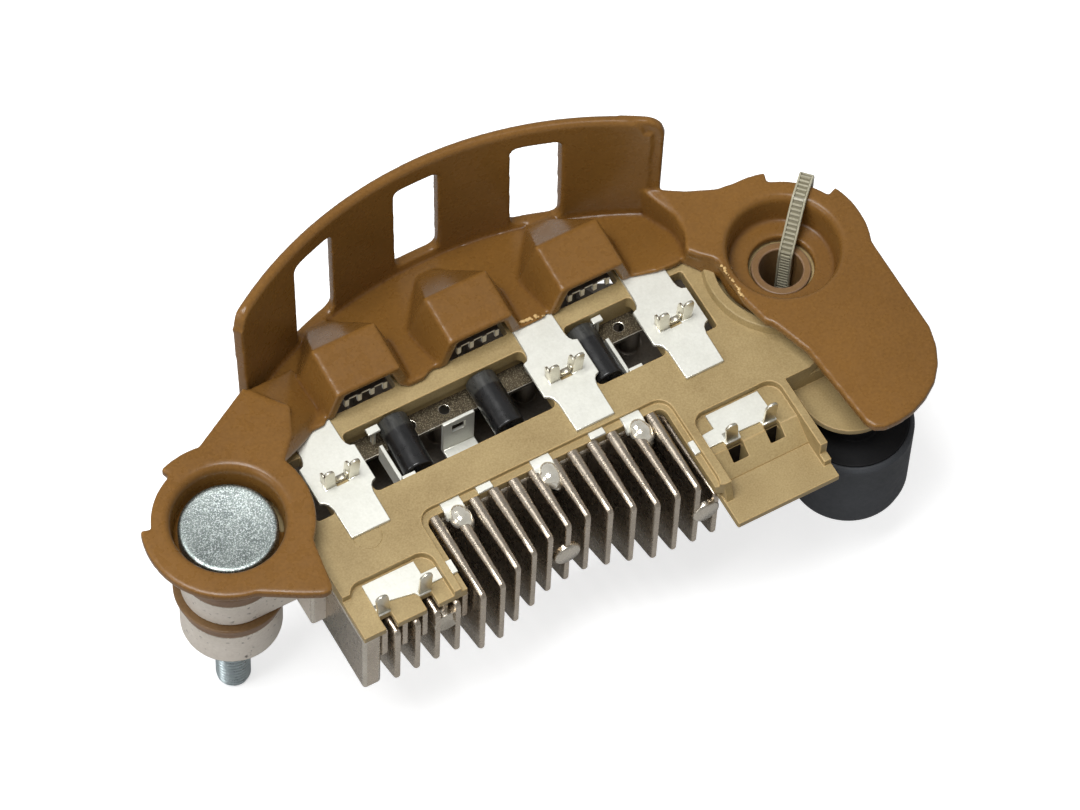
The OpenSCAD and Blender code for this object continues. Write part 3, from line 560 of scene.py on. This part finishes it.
# the free edge beside the right cup runs straight past the cup's own wall
cut_away(shield, "free_edge", [(84, 8.1), (91.6, 8.1), (94.2, 5.6), (94.9, 4.5), (94.9, -4.2), (95.7, -7.7), (96.4, -11.4), (97, -15), (97, -20), (84, -20)],
         BOARD + 0.05, BOARD + 8)
cells = shield.modifiers.new("cells", "REMESH")
cells.mode = "VOXEL"
cells.voxel_size = 0.26 * MM
relax = shield.modifiers.new("relax", "SMOOTH")
relax.factor = 0.5
relax.iterations = 22
applied(shield)
thin = shield.modifiers.new("thin", "DECIMATE")
thin.ratio = 150000 / len(shield.data.polygons)
applied(shield)

work = bmesh.new()
work.from_mesh(shield.data)
work.normal_update()
# the bend paints the finish: outward edges lighter, partly wear and partly a painted highlight, hollows darker with
# painted shade
bend_layer = work.verts.layers.float.new("bend")
around = {v: [e.other_vert(v) for e in v.link_edges] for v in work.verts}
bend = {v: sum((v.co - n.co).normalized().dot(v.normal) for n in near) / max(1, len(near)) for v, near in around.items()}
for _ in range(4):
    bend = {v: (bend[v] + sum(bend[n] for n in near)) / (1 + len(near)) for v, near in around.items()}
for v, value in bend.items():
    v[bend_layer] = value
spread = sorted(bend.values())
print("shield: %d triangles, bend %s" % (len(work.faces), [round(spread[int(q * (len(spread) - 1))], 3) for q in (0, 0.02, 0.1, 0.5, 0.9, 0.98, 1)]))
work.to_mesh(shield.data)
work.free()
shield.data.materials.clear()
shield.data.materials.append(shield_brown)
shield.data.shade_smooth()
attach(shield, "root")
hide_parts("shield_cover")

# %% [markdown]
# Some pieces follow a rule instead: a thread, a row of fins, a strap with teeth. Geometry Nodes suit
# them, because a tree is a rule with named sizes. These helpers start a tree, do arithmetic in it, and
# turn its result into a plain mesh.

# %% Helpers for rules
KINDS = {float: "NodeSocketFloat", int: "NodeSocketInt", bpy.types.Object: "NodeSocketObject", bpy.types.Material: "NodeSocketMaterial"}


def start_rule(name, **sizes):
    """A geometry tree with a named input for each size, and the dictionary of their identifiers."""
    tree = bpy.data.node_groups.new(name, "GeometryNodeTree")
    tree.interface.new_socket("Geometry", in_out="INPUT", socket_type="NodeSocketGeometry")
    names = {}
    for key, value in sizes.items():
        socket = tree.interface.new_socket(key, in_out="INPUT", socket_type=KINDS[type(value)])
        names[key] = (socket.identifier, value)
    tree.interface.new_socket("Geometry", in_out="OUTPUT", socket_type="NodeSocketGeometry")
    return tree, add(tree, "NodeGroupInput").outputs, names


def calc(tree, operation, *values):
    return add(tree, "ShaderNodeMath", dict(enumerate(values)), operation=operation).outputs[0]


def end_rule(tree, geometry, material):
    whole = add(tree, "GeometryNodeRealizeInstances", {0: geometry})
    painted = add(tree, "GeometryNodeSetMaterial", {0: whole.outputs[0], "Material": material})
    add(tree, "NodeGroupOutput", {0: painted.outputs[0]})


def follow_rule(name, tree, names, mesh):
    made = as_object(name, mesh)
    rule = made.modifiers.new("rule", "NODES")
    rule.node_group = tree
    for identifier, value in names.values():
        rule[identifier] = value
    return applied(made)


def closed(made, tolerance=0.01):
    """Merges a mesh's seams, fills its open ends and points its faces outwards."""
    work = bmesh.new()
    work.from_mesh(made.data)
    bmesh.ops.remove_doubles(work, verts=work.verts, dist=tolerance * MM)
    bmesh.ops.holes_fill(work, edges=[e for e in work.edges if e.is_boundary])
    bmesh.ops.recalc_face_normals(work, faces=work.faces)
    work.to_mesh(made.data)
    work.free()
    return made


print("rule helpers ready")

# %% [markdown]
# The stud has a straight knurl under the ring and an M6 thread below it. A thread is a radius that rises
# and falls along the length and is shifted round by the angle, so a flat grid bent into a tube by that
# rule gives a true helix. The knurl is the same idea with the wave running round instead of along.

# %% Stud
STUD_LENGTH, CREST, CORE, PITCH, KNURL, RIDGES = 21.2, 3.0, 2.46, 1.0, 3.4, 26
tree, size, names = start_rule("stud_rule", Length=STUD_LENGTH, Crest=CREST, Core=CORE, Pitch=PITCH, Knurl=KNURL, Material=zinc_thread)
grid = add(tree, "GeometryNodeMeshGrid", {"Size X": 1.0, "Size Y": 1.0, "Vertices X": RIDGES * 6 + 1, "Vertices Y": 190})
at = add(tree, "ShaderNodeSeparateXYZ", {0: add(tree, "GeometryNodeInputPosition").outputs[0]})
turn_part = calc(tree, "ADD", at.outputs[0], 0.5)
down = calc(tree, "MULTIPLY", calc(tree, "ADD", at.outputs[1], 0.5), size["Length"])
angle = calc(tree, "MULTIPLY", turn_part, 2 * math.pi)
wave = calc(tree, "FRACT", calc(tree, "SUBTRACT", calc(tree, "DIVIDE", down, size["Pitch"]), turn_part))
tooth = calc(tree, "SUBTRACT", 1.0, calc(tree, "ABSOLUTE", calc(tree, "MULTIPLY_ADD", wave, 2.0, -1.0)))
flat_tooth = add(tree, "ShaderNodeMapRange", {0: tooth, 1: 0.12, 2: 0.88}, interpolation_type="SMOOTHSTEP").outputs[0]
thread = calc(tree, "MULTIPLY_ADD", flat_tooth, calc(tree, "SUBTRACT", size["Crest"], size["Core"]), size["Core"])
knurl = calc(tree, "MULTIPLY_ADD", calc(tree, "COSINE", calc(tree, "MULTIPLY", angle, float(RIDGES))), 0.09, CREST - 0.09)
below = add(tree, "ShaderNodeMapRange", {0: calc(tree, "SUBTRACT", down, size["Knurl"]), 1: 0.0, 2: 0.6}).outputs[0]
radius = add(tree, "ShaderNodeMix", {0: below, 2: knurl, 3: thread}, data_type="FLOAT").outputs[0]
near_end = calc(tree, "MAXIMUM", calc(tree, "SUBTRACT", down, calc(tree, "SUBTRACT", size["Length"], 1.9)), 0.0)
nose = calc(tree, "SUBTRACT", size["Crest"], calc(tree, "MULTIPLY", calc(tree, "MULTIPLY", near_end, near_end), 0.33))
radius = calc(tree, "MULTIPLY", calc(tree, "MINIMUM", radius, nose), MM)
place_at = add(tree, "ShaderNodeCombineXYZ", {
    0: calc(tree, "MULTIPLY", radius, calc(tree, "COSINE", angle)),
    1: calc(tree, "MULTIPLY", radius, calc(tree, "SINE", angle)),
    2: calc(tree, "MULTIPLY", down, -MM)})
# painted light on the thread: roots get painted shade, crests a painted highlight, so the thread reads as dark and
# light lines
shade = calc(tree, "MULTIPLY", below, calc(tree, "MULTIPLY_ADD", flat_tooth, 0.34, -0.16))
marked = add(tree, "GeometryNodeStoreNamedAttribute", {0: grid.outputs[0], "Name": "bend", "Value": shade}, data_type="FLOAT", domain="POINT")
bent = add(tree, "GeometryNodeSetPosition", {0: marked.outputs[0], "Position": place_at.outputs[0]})
end_rule(tree, bent.outputs[0], size["Material"])
stud = closed(follow_rule("stud", tree, names, bpy.data.meshes.new("stud")))
stud.data.shade_smooth()
stud.data.set_sharp_from_angle(angle=math.radians(60))
print("stud:", len(stud.data.polygons), "faces")

# %% [markdown]
# The bolt's head is turned, so it is a profile spun round the axis: a shallow dish on top, a rolled
# edge, and the plain shank that passes through the stack.

# %% Bolt head
def turned(name, profile, material, steps=96, centre=(0, 0), axis="Z"):
    """A solid of revolution from (radius, height) points, the first and last of them on the axis."""
    work = bmesh.new()
    rings = []
    for r, z in profile:
        if r < 1e-6:
            rings.append([work.verts.new((0, 0, z))])
        else:
            rings.append([work.verts.new((r * math.cos(2 * math.pi * k / steps), r * math.sin(2 * math.pi * k / steps), z)) for k in range(steps)])
    for first, second in zip(rings, rings[1:]):
        for k in range(steps):
            n = (k + 1) % steps
            if len(first) == 1:
                work.faces.new((first[0], second[k], second[n]))
            elif len(second) == 1:
                work.faces.new((first[k], second[0], first[n]))
            else:
                work.faces.new((first[k], second[k], second[n], first[n]))
    bmesh.ops.recalc_face_normals(work, faces=work.faces)
    if axis == "Y":
        bmesh.ops.rotate(work, verts=work.verts, matrix=Matrix.Rotation(math.radians(90), 3, "X"))
    bmesh.ops.translate(work, verts=work.verts, vec=Vector((*centre, 0)) if len(centre) == 2 else Vector(centre))
    bmesh.ops.scale(work, verts=work.verts, vec=(MM, MM, MM))
    mesh = bpy.data.meshes.new(name)
    work.to_mesh(mesh)
    work.free()
    mesh.shade_smooth()
    mesh.set_sharp_from_angle(angle=math.radians(40))
    return as_object(name, mesh, material)


HEAD_R, HEAD_TOP = 8.3, BOARD + 3
head = turned("bolt_head", [(0, HEAD_TOP - 0.12), (HEAD_R - 1.3, HEAD_TOP - 0.08), (HEAD_R - 0.8, HEAD_TOP), (HEAD_R - 0.4, HEAD_TOP - 0.04),
                            (HEAD_R - 0.12, HEAD_TOP - 0.2), (HEAD_R, HEAD_TOP - 0.5), (HEAD_R, BOARD + 0.2), (HEAD_R - 0.2, BOARD),
                            (2.95, BOARD), (2.95, -0.5), (0, -0.5)], zinc)
for piece in (head, stud):
    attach(piece, "root")
    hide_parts("b_plus_bolt")
print("bolt head %.1f mm across" % (2 * HEAD_R))

# %% [markdown]
# The live heat sink is a casting. Its fins all come from one pattern: thick at the root so that the metal
# flows and the die lets go, thin and square at the front, and rounded along the top. One blank fin of
# unit length is placed at each root and stretched to its own reach, which keeps every thickness true.

# %% Fin blanks
FIN_PITCH, FIN_FIRST, FIN_ROOT_Y = 3.72, 16.7, -12.4
FIN_FRONTS = [-27.5, -27.5, -27.5, -27.6, -29.4, -29.2, -27.6, -26.4, -25.2, -24.7, -24.6, -25.6, -26.8, -28.2, -28.4, -28.7, -28.7]


def fin_section(part, half, top, bottom, inset=0.0):
    half -= inset
    bottom += inset
    crown = [(half * math.cos(math.pi * k / 10), top - inset - half * 0.8 + half * 0.8 * math.sin(math.pi * k / 10)) for k in range(11)]
    ring = [(-half, bottom + 0.3), (-half + 0.25, bottom), (half - 0.25, bottom), (half, bottom + 0.3)] + crown
    return [(x * MM, -part, z * MM) for x, z in ring]


def fin_blank(top):
    rings = []
    for part, inset in ((0, 0), (0.25, 0), (0.5, 0), (0.75, 0), (0.955, 0), (0.982, 0.06), (0.994, 0.16), (1.0, 0.3)):
        half = 1.1 + (0.55 - 1.1) * part
        drop = 0 if part < 0.95 else 0.55 * ((part - 0.95) / 0.05) ** 2
        rings.append(fin_section(part, half, BOARD - top - drop, BOARD - 19.2 - 4.4 * (1 - part), inset * 0.45))
    blank_fin = loft("fin_blank", rings)
    blank_fin.data.shade_smooth()
    blank_fin.data.set_sharp_from_angle(angle=math.radians(38))
    return blank_fin


def row_of(name, blank_piece, feet, reaches, material):
    """Places a copy of the blank at each foot, stretched along Y to its reach."""
    tree, size, names = start_rule(name + "_rule", Blank=blank_piece, Material=material)
    shape = add(tree, "GeometryNodeObjectInfo", {"Object": size["Blank"]})
    reach = add(tree, "GeometryNodeInputNamedAttribute", {"Name": "reach"}, data_type="FLOAT")
    stretch = add(tree, "ShaderNodeCombineXYZ", {0: 1.0, 1: reach.outputs[0], 2: 1.0})
    placed = add(tree, "GeometryNodeInstanceOnPoints", {"Points": size["Geometry"], "Instance": shape.outputs["Geometry"], "Scale": stretch.outputs[0]})
    end_rule(tree, placed.outputs[0], size["Material"])
    mesh = bpy.data.meshes.new(name)
    mesh.from_pydata([Vector(f) * MM for f in feet], [], [])
    lengths = mesh.attributes.new("reach", "FLOAT", "POINT")
    for k, value in enumerate(reaches):
        lengths.data[k].value = value * MM
    made = follow_rule(name, tree, names, mesh)
    bpy.data.objects.remove(blank_piece)
    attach(made, "root")
    return made


print("fin pitch", FIN_PITCH, "mm")

# %% [markdown]
# Four fins start lower, under the left bay, and the last one lies under the right bay. Between the first
# ones hang short fins with round ends, which stop where the die's slide came in.

# %% Rows of fins
rows = [("fins_left", 3.35, range(0, 4)), ("fins_middle", 0.8, range(4, 16)), ("fins_right", 6.4, range(16, 17))]
live_pieces = []
for name, top, which in rows:
    feet = [(FIN_FIRST + k * FIN_PITCH, FIN_ROOT_Y, 0) for k in which]
    reaches = [FIN_ROOT_Y - FIN_FRONTS[k] for k in which]
    live_pieces.append(row_of(name, fin_blank(top), feet, reaches, cast_metal))

rings = []
for half, inset in ((-0.55, 0.12), (-0.45, 0), (0.45, 0), (0.55, 0.12)):
    tip = [(-24.9 + (1.5 - inset) * math.cos(a), -10.4 + (1.5 - inset) * math.sin(a)) for a in (math.radians(180 + 9 * k) for k in range(11))]
    outline = [(-12.4, -3.35), (-26.4 + inset, -3.35)] + tip + [(-12.4, -11.9 + inset)]
    rings.append([(half * MM, (y - FIN_ROOT_Y) / 14 , (z + BOARD) * MM) for y, z in outline])
short_blank = loft("short_fin_blank", rings)
short_blank.data.shade_smooth()
short_blank.data.set_sharp_from_angle(angle=math.radians(50))
feet = [(FIN_FIRST + (k + 0.5) * FIN_PITCH, FIN_ROOT_Y, 0) for k in range(-1, 4)]
live_pieces.append(row_of("short_fins", short_blank, feet, [14] * 5, cast_metal))
print("fins:", sum(len(which) for _, _, which in rows), "long and", len(feet), "short")

# %% [markdown]
# The rest of that casting is a spine along the roots of the fins, a cheek at the left, and an arm that
# ends in a round boss on the bolt. The boss is an arc, so its outline comes from a formula. Round pads
# on the fins' fronts are left by the pins that push the casting out of its die.

# %% Body of the live casting
def prism(name, outline, z0, z1, material, edge, width, steps=3):
    """An upright solid from a plan outline in millimetres, with rounded edges."""
    rings = [[(x * MM, y * MM, z * MM) for x, y in outline] for z in (z0, z1)]
    return soften(loft(name, rings, material, edge), width, 35, steps, 1)


def block(x0, x1, y0, y1):
    return [(x0, y0), (x1, y0), (x1, y1), (x0, y1)]


BOSS_R = 8.4
boss_arc = [(BOSS_R * math.cos(a), BOSS_R * math.sin(a)) for a in (math.radians(84 + 4 * k) for k in range(48))]
parts = [
    ("live_spine", block(14, 78.4, -12.6, -8.8), 24, 3, 0.5, cast_metal),
    ("live_rib", block(12, 78.4, -9, -5.4), 24, 3.01, 0.4, cast_metal),
    ("live_cheek", block(10.9, 14.2, -26.4, -9), 20, 3.4, 0.6, cast_metal),
    ("live_step", block(8.3, 11.4, -13.2, -6), 17, 3.4, 0.5, cast_skin),
    ("live_arm", boss_arc + [(9, -8.4), (9, -6), (13, -6), (13, 5), (6, 6.2)], 15.8, 9, 0.45, cast_skin),
]
for name, outline, below, above, width, skin in parts:
    live_pieces.append(prism(name, outline, BOARD - below, BOARD - above, skin, cast_edge, width))
PAD = [(0, 1.1), (2.1, 1.1), (2.35, 0.95), (2.5, 0.7), (2.5, 0), (0, 0)]
live_pieces.append(turned("pad_middle", PAD, cast_edge, 48, (50.1, -24, BOARD - 10.2), "Y"))
live_pieces.append(turned("pad_right", PAD, cast_edge, 48, (74.3, -28, BOARD - 10.2), "Y"))
DISH = [(0, 0.5), (1.2, 0.62), (1.9, 0.95), (2.2, 1.45), (2.38, 1.6), (2.5, 1.5), (2.5, 0), (0, 0)]
live_pieces.append(turned("pad_left", DISH, cast_edge, 48, (26, -26, BOARD - 7.6), "Y"))
for piece in live_pieces:
    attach(piece, "root")
    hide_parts("positive_heat_sink")
print("live casting:", len(live_pieces), "pieces")

# %% [markdown]
# A nylon tie runs down through the bush, under the ring and back over the rim of the cup. A strap is a
# profile carried along a path, and its teeth are small bars repeated along the same path and turned
# with it. The path lies in one plane, so one angle turns each tooth.

# %% Cable tie
TIE_W, TIE_T, TOOTH_STEP = 2.5, 1.05, 0.86
RIM_TOP = BOARD + RIM
path_points = [(2.95, -1.05), (13.0, -1.05), (14.3, -0.5), (14.75, 0.8), (14.75, RIM_TOP - 0.9), (14.2, RIM_TOP + 0.5),
               (10.7, RIM_TOP + 0.55), (9.5, RIM_TOP + 0.45), (3.2, BOARD - 0.6), (2.95, BOARD - 1.6)]
curve = bpy.data.curves.new("tie_path", "CURVE")
curve.dimensions = "3D"
spline = curve.splines.new("POLY")
spline.points.add(len(path_points) - 1)
for point, (x, z) in zip(spline.points, path_points):
    point.co = (x * MM, 0, z * MM, 1)
spline.use_cyclic_u = True
path_object = bpy.data.objects.new("tie_path", curve)
bpy.context.collection.objects.link(path_object)

# the strap's section has two smooth rails with the toothed channel between them
half, rise = TIE_W / 2, TIE_T / 2
profile = [(-half, 0.1 - rise), (0.1 - half, -rise), (half - 0.1, -rise), (half, 0.1 - rise), (half, rise - 0.1), (half - 0.1, rise), (0.92, rise),
           (0.84, rise - 0.26), (-0.84, rise - 0.26), (-0.92, rise), (0.1 - half, rise), (-half, rise - 0.1)]
section = bpy.data.meshes.new("tie_section")
section.from_pydata([(x * MM, y * MM, 0) for x, y in profile], [(k, (k + 1) % len(profile)) for k in range(len(profile))], [])
# the two points on the channel's floor get a bend of -1, which paints shade along the channel
depth = section.attributes.new("bend", "FLOAT", "POINT")
for k in (7, 8):
    depth.data[k].value = -1
section_object = as_object("tie_section", section)

tree, size, names = start_rule("tie_rule", Path=path_object, Section=section_object, Thickness=TIE_T, Step=TOOTH_STEP, Material=nylon)
route = add(tree, "GeometryNodeObjectInfo", {"Object": size["Path"]})
rounded_path = add(tree, "GeometryNodeFilletCurve", {0: route.outputs["Geometry"], "Radius": 0.6 * MM, "Limit Radius": True, "Count": 5}, mode="POLY")
thick = calc(tree, "MULTIPLY", size["Thickness"], MM)
section_mesh = add(tree, "GeometryNodeObjectInfo", {"Object": size["Section"]})
outline_curve = add(tree, "GeometryNodeMeshToCurve", {0: section_mesh.outputs["Geometry"]})
upright = add(tree, "GeometryNodeSetCurveNormal", {0: rounded_path.outputs[0]})
strap = add(tree, "GeometryNodeCurveToMesh", {"Curve": upright.outputs[0], "Profile Curve": outline_curve.outputs[0]})
evenly = add(tree, "GeometryNodeResampleCurve", {"Curve": rounded_path.outputs[0], "Length": calc(tree, "MULTIPLY", size["Step"], MM)}, mode="LENGTH")
bar = add(tree, "GeometryNodeMeshCube", {"Size": (0.34 * MM, 1.72 * MM, 0.5 * MM)})
way = add(tree, "ShaderNodeSeparateXYZ", {0: add(tree, "GeometryNodeInputTangent").outputs[0]})
tilt = calc(tree, "ARCTAN2", way.outputs[2], way.outputs[0])
turn_to = add(tree, "ShaderNodeCombineXYZ", {1: calc(tree, "MULTIPLY", tilt, -1.0)})
outward = add(tree, "ShaderNodeCombineXYZ", {0: calc(tree, "MULTIPLY", way.outputs[2], 0.24), 2: calc(tree, "MULTIPLY", way.outputs[0], -0.24)})
lifted = add(tree, "GeometryNodeSetPosition", {0: evenly.outputs[0], "Offset": add(
    tree, "ShaderNodeVectorMath", {0: outward.outputs[0], "Scale": thick}, operation="SCALE").outputs[0]})
bars = add(tree, "GeometryNodeInstanceOnPoints", {"Points": lifted.outputs[0], "Instance": bar.outputs[0], "Rotation": turn_to.outputs[0]})
together = add(tree, "GeometryNodeJoinGeometry")
tree.links.new(strap.outputs[0], together.inputs[0])
tree.links.new(bars.outputs[0], together.inputs[0])
end_rule(tree, together.outputs[0], size["Material"])
tie = follow_rule("tie_strap", tree, names, bpy.data.meshes.new("tie_strap"))
tie.data.transform(Matrix.Translation(BUSH * MM) @ Matrix.Rotation(math.radians(44), 4, "Z"))
tie.data.shade_smooth()
tie.data.set_sharp_from_angle(angle=math.radians(40))
bpy.data.objects.remove(path_object)
bpy.data.objects.remove(section_object)
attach(tie, "root")
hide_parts("cable_tie")
print("tie:", len(tie.data.polygons), "faces")

# %% [markdown]
# Each prong of a terminal is folded from the sheet into an angle: a front leaf with a round head, and a
# lower side leaf behind it on the phase terminals. The plain prongs are cut off level with the sheet and the leaves stand there
# instead, leaning a little apart. A half loop joins the two on the phase terminals.

# %% Prongs
def leaf(wide, tall, thick, across, lean, place):
    """An upright leaf with a round head; across is the direction of its width, lean moves its head sideways."""
    half = wide / 2
    head = [(half * math.cos(math.pi * k / 10), tall - half + half * math.sin(math.pi * k / 10)) for k in range(11)]
    made = prism("leaf", [(-half, 0), (half, 0)] + head, 0, thick, prong_tin, prong_tin, 0.1)
    (dx, dy), (x, y, z) = across, place
    made.data.transform(Matrix(((dx, lean, dy, x * MM), (dy, 0, -dx, y * MM), (0, 1, 0, z * MM), (0, 0, 0, 1))))
    return made


def half_loop(x, y, z):
    rings = []
    for k in range(17):
        a = math.pi * (1 + k / 16)
        rings.append([((x + r * math.cos(a)) * MM, (y + d) * MM, (z + r * math.sin(a)) * MM) for r, d in ((1.05, 0), (1.05, 0.9), (1.45, 0.9), (1.45, 0))])
    return soften(loft("half_loop", rings, prong_tin, prong_tin), 0.08, 35, 2, 1)


TERMINALS = [("phase_terminal_" + side, 0.63, [(x - 2.1, 0.1, -1), (x + 2.1, 0.15, 1)], 1.95, 5.2) for side, x in zip(("left", "middle", "right"), (21.0, 63.3, 84.3))]
TERMINALS += [("bay_terminal_left", -1.07, [(15.95, -23.5, -1), (23.55, -23.4, 1)], 2.3, 5.6), ("bay_terminal_right", -1.17, [(82.1, -22.7, -1), (89.3, -22.5, 1)], 2.3, 5.2)]
for node, level, prongs, wide, tall in TERMINALS:
    sheet = bpy.data.objects["dressed_" + node]
    work = bmesh.new()
    work.from_mesh(sheet.data)
    bmesh.ops.bisect_plane(work, geom=work.verts[:] + work.edges[:] + work.faces[:], plane_co=(0, 0, (BOARD + level) * MM), plane_no=(0, 0, 1), clear_outer=True)
    bmesh.ops.holes_fill(work, edges=[e for e in work.edges if e.is_boundary])
    work.to_mesh(sheet.data)
    work.free()
    leaves = []
    for x, y, side in prongs:
        leaves.append(leaf(wide, tall, 0.5, (1, 0), side * 0.07, (x, y, BOARD + level - 0.2)))
        if node.startswith("phase"):
            leaves.append(leaf(1.9, tall * 0.72, 0.4, (0, 1), side * 0.07, (x - 0.97, y + 0.5, BOARD + level - 0.2)))
    if node.startswith("phase"):
        leaves.append(half_loop(prongs[0][0] + 2.1, 0.1, BOARD + 1.85))
    work = bmesh.new()
    for piece in leaves:
        work.from_mesh(piece.data)
    folded = bpy.data.meshes.new("prongs_" + node)
    work.to_mesh(folded)
    work.free()
    for piece in leaves:
        bpy.data.objects.remove(piece)
    folded = as_object("prongs_" + node, folded, prong_tin)
    folded.data.shade_smooth()
    folded.data.set_sharp_from_angle(angle=math.radians(40))
    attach(folded, "root")
print("prongs made:", len(TERMINALS), "pairs")

# %% [markdown]
# Solder wets the lug, sags over its edge and freezes in a lump. A few overlapping balls, joined by a
# voxel remesh and smoothed, take that shape, and a little noise keeps the three from being twins.

# %% Solder joints
def soft_lump(name, balls, voxel, material, rough=0.06, smooth=6):
    work = bmesh.new()
    for x, y, z, r, squash in balls:
        where = Matrix.Translation((x * MM, y * MM, z * MM)) @ Matrix.Diagonal((r * MM, r * MM, r * squash * MM, 1))
        bmesh.ops.create_icosphere(work, subdivisions=3, radius=1, matrix=where)
    mesh = bpy.data.meshes.new(name)
    work.to_mesh(mesh)
    work.free()
    made = as_object(name, mesh, material)
    join = made.modifiers.new("join", "REMESH")
    join.mode = "VOXEL"
    join.voxel_size = voxel * MM
    relax = made.modifiers.new("relax", "SMOOTH")
    relax.iterations = smooth
    applied(made)
    for v in made.data.vertices:
        v.co += v.normal * noise.noise(v.co * 900) * rough * MM
    made.data.materials.clear()
    made.data.materials.append(material)
    made.data.shade_smooth()
    return made


for side, x in (("left", 35.4), ("middle", 52.3), ("right", 69.4)):
    shift = {"left": 0.1, "middle": -0.15, "right": 0.2}[side]
    balls = [(x, -13.6, BOARD - 0.9, 1.5, 0.65), (x + shift, -14.5, BOARD - 1.5, 1.95, 0.8), (x + 0.4 + shift, -15.2, BOARD - 2.1, 1.6, 1.0),
             (x + 0.7, -15.9, BOARD - 3.0, 1.0, 1.1)]
    lump = soft_lump("solder_" + side, balls, 0.16, solder_bright, rough=0.02, smooth=16)
    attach(lump, "root")
    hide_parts("solder_joints")
print("solder joints made")

# %% [markdown]
# The mouldings aren't trimmed perfectly. Crumbs of pale flash cling to the shield's free edges, and they
# are lumps too, only small and strung along a line.

# %% Flash
crumb_lines = [("flash_front", (61.3, 12.0, 1.5), (65.4, 11.3, 1.5), 12, 0.28), ("flash_cup", (95.0, 3.2, 6.1), (95.1, -3.6, 5.9), 14, 0.26),
               ("flash_hump", (52.0, 23.6, 2.9), (53.4, 23.0, 3.0), 6, 0.34)]
for name, start, end, count, radius in crumb_lines:
    chance = random.Random(name)
    balls = []
    for k in range(count):
        x, y, z = Vector(start).lerp(Vector(end), k / (count - 1))
        balls.append((x + chance.uniform(-0.2, 0.2), y + chance.uniform(-0.2, 0.2), BOARD + z + chance.uniform(-0.1, 0.15), radius * chance.uniform(0.5, 1.3), 0.7))
    crumbs = soft_lump(name, balls, 0.09, flash, rough=0.05, smooth=1)
    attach(crumbs, "root")
print("flash:", len(crumb_lines), "lines of crumbs")

# %% [markdown]
# Two bright ears stand beside the diodes, at the back of the slots. Each is the end of the strip that
# feeds the diode, bent over flat.

# %% Ears of the strips
for side, x0, x1, y0, y1, stem in (("left", 29.4, 31.7, 6.1, 7.5, 30.3), ("right", 72.7, 74.6, 7.0, 8.2, 73.4)):
    for name, outline, z0, z1 in (("ear_" + side, block(x0, x1, y0, y1), -1.4, -0.9), ("ear_stem_" + side, block(stem, stem + 0.6, y0 + 0.2, y1 - 0.2), -5.4, -1.2)):
        ear = prism(name, outline, BOARD + z0, BOARD + z1, white_tin, tin_edge, 0.1)
        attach(ear, "root")
print("ears made")

# %% [markdown]
# The pocket beside the right terminal is dark with shade, so a thin floor in the dark slot_shadow finish closes it
# inside the board's thickness as painted shade.

# %% Floor of the pocket
pocket = prism("pocket_floor", block(86.8, 91.8, 3.6, 10.2), BOARD - 3.1, BOARD - 2.6, slot_dark, slot_dark, 0.1)
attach(pocket, "root")

# %% [markdown]
# The board has a raised lip round the bush, outside the cup's own wall. It's a short turned ring.

# %% Lip round the bush
lip = []
for r, z in ((11.7, -1), (11.7, 1.3), (11.85, 1.5), (13.2, 1.5), (13.4, 1.35), (13.7, 0.02), (12.6, -1)):
    lip.append([((BUSH.x + r * math.cos(2 * math.pi * k / 128)) * MM, (BUSH.y + r * math.sin(2 * math.pi * k / 128)) * MM, (BOARD + z) * MM) for k in range(128)])
work = bmesh.new()
rings = [[work.verts.new(p) for p in ring] for ring in lip]
for first, second in zip(rings, rings[1:] + rings[:1]):
    for k in range(128):
        work.faces.new((first[k], first[(k + 1) % 128], second[(k + 1) % 128], second[k]))
bmesh.ops.recalc_face_normals(work, faces=work.faces)
lip_mesh = bpy.data.meshes.new("board_lip")
work.to_mesh(lip_mesh)
work.free()
lip_ring = as_object("board_lip", lip_mesh, board_tan)
lip_mesh.shade_smooth()
lip_mesh.set_sharp_from_angle(angle=math.radians(35))
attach(lip_ring, "root")
print("lip made")

# %% [markdown]
# The mould left a shallow ring in the board beside the left terminal. It is cut from the rounded board
# with a thin round wire.

# %% Ring in the board
wire = bpy.data.curves.new("ring_wire", "CURVE")
wire.dimensions = "3D"
wire.bevel_depth = 0.11 * MM
wire.bevel_resolution = 2
wire.use_fill_caps = True
circle = wire.splines.new("POLY")
circle.points.add(63)
for k, point in enumerate(circle.points):
    a = 2 * math.pi * k / 64
    point.co = ((20.0 + 2.4 * math.cos(a)) * MM, (-10.9 + 2.4 * math.sin(a)) * MM, (BOARD + 0.01) * MM, 1)
circle.use_cyclic_u = True
cutter = bpy.data.objects.new("ring_cutter", wire)
bpy.context.collection.objects.link(cutter)
bpy.context.view_layer.update()
wire_mesh = bpy.data.meshes.new_from_object(cutter.evaluated_get(bpy.context.evaluated_depsgraph_get()))
bpy.data.objects.remove(cutter)
cutter = closed(as_object("ring_cutter", wire_mesh), 0.001)
board = bpy.data.objects["dressed_terminal_board"]
cut = board.modifiers.new("ring", "BOOLEAN")
cut.object = cutter
cut.operation = "DIFFERENCE"
cut.solver = "EXACT"
before = len(board.data.polygons)
applied(board)
bpy.data.objects.remove(cutter)
for name in [a.name for a in board.data.attributes if a.name == "custom_normal"]:
    board.data.attributes.remove(board.data.attributes[name])
smooth_and_flat(board)
# the board's faces deep inside the right slot take the slot_shadow finish, painted shade
board.data.materials.append(slot_dark)
for face in board.data.polygons:
    x, y, z = face.center / MM
    if 79.4 < x < 92 and -27.4 < y < -22 and z < BOARD - 4.8:
        face.material_index = 2
print("board:", before, "faces before the ring,", len(board.data.polygons), "after")
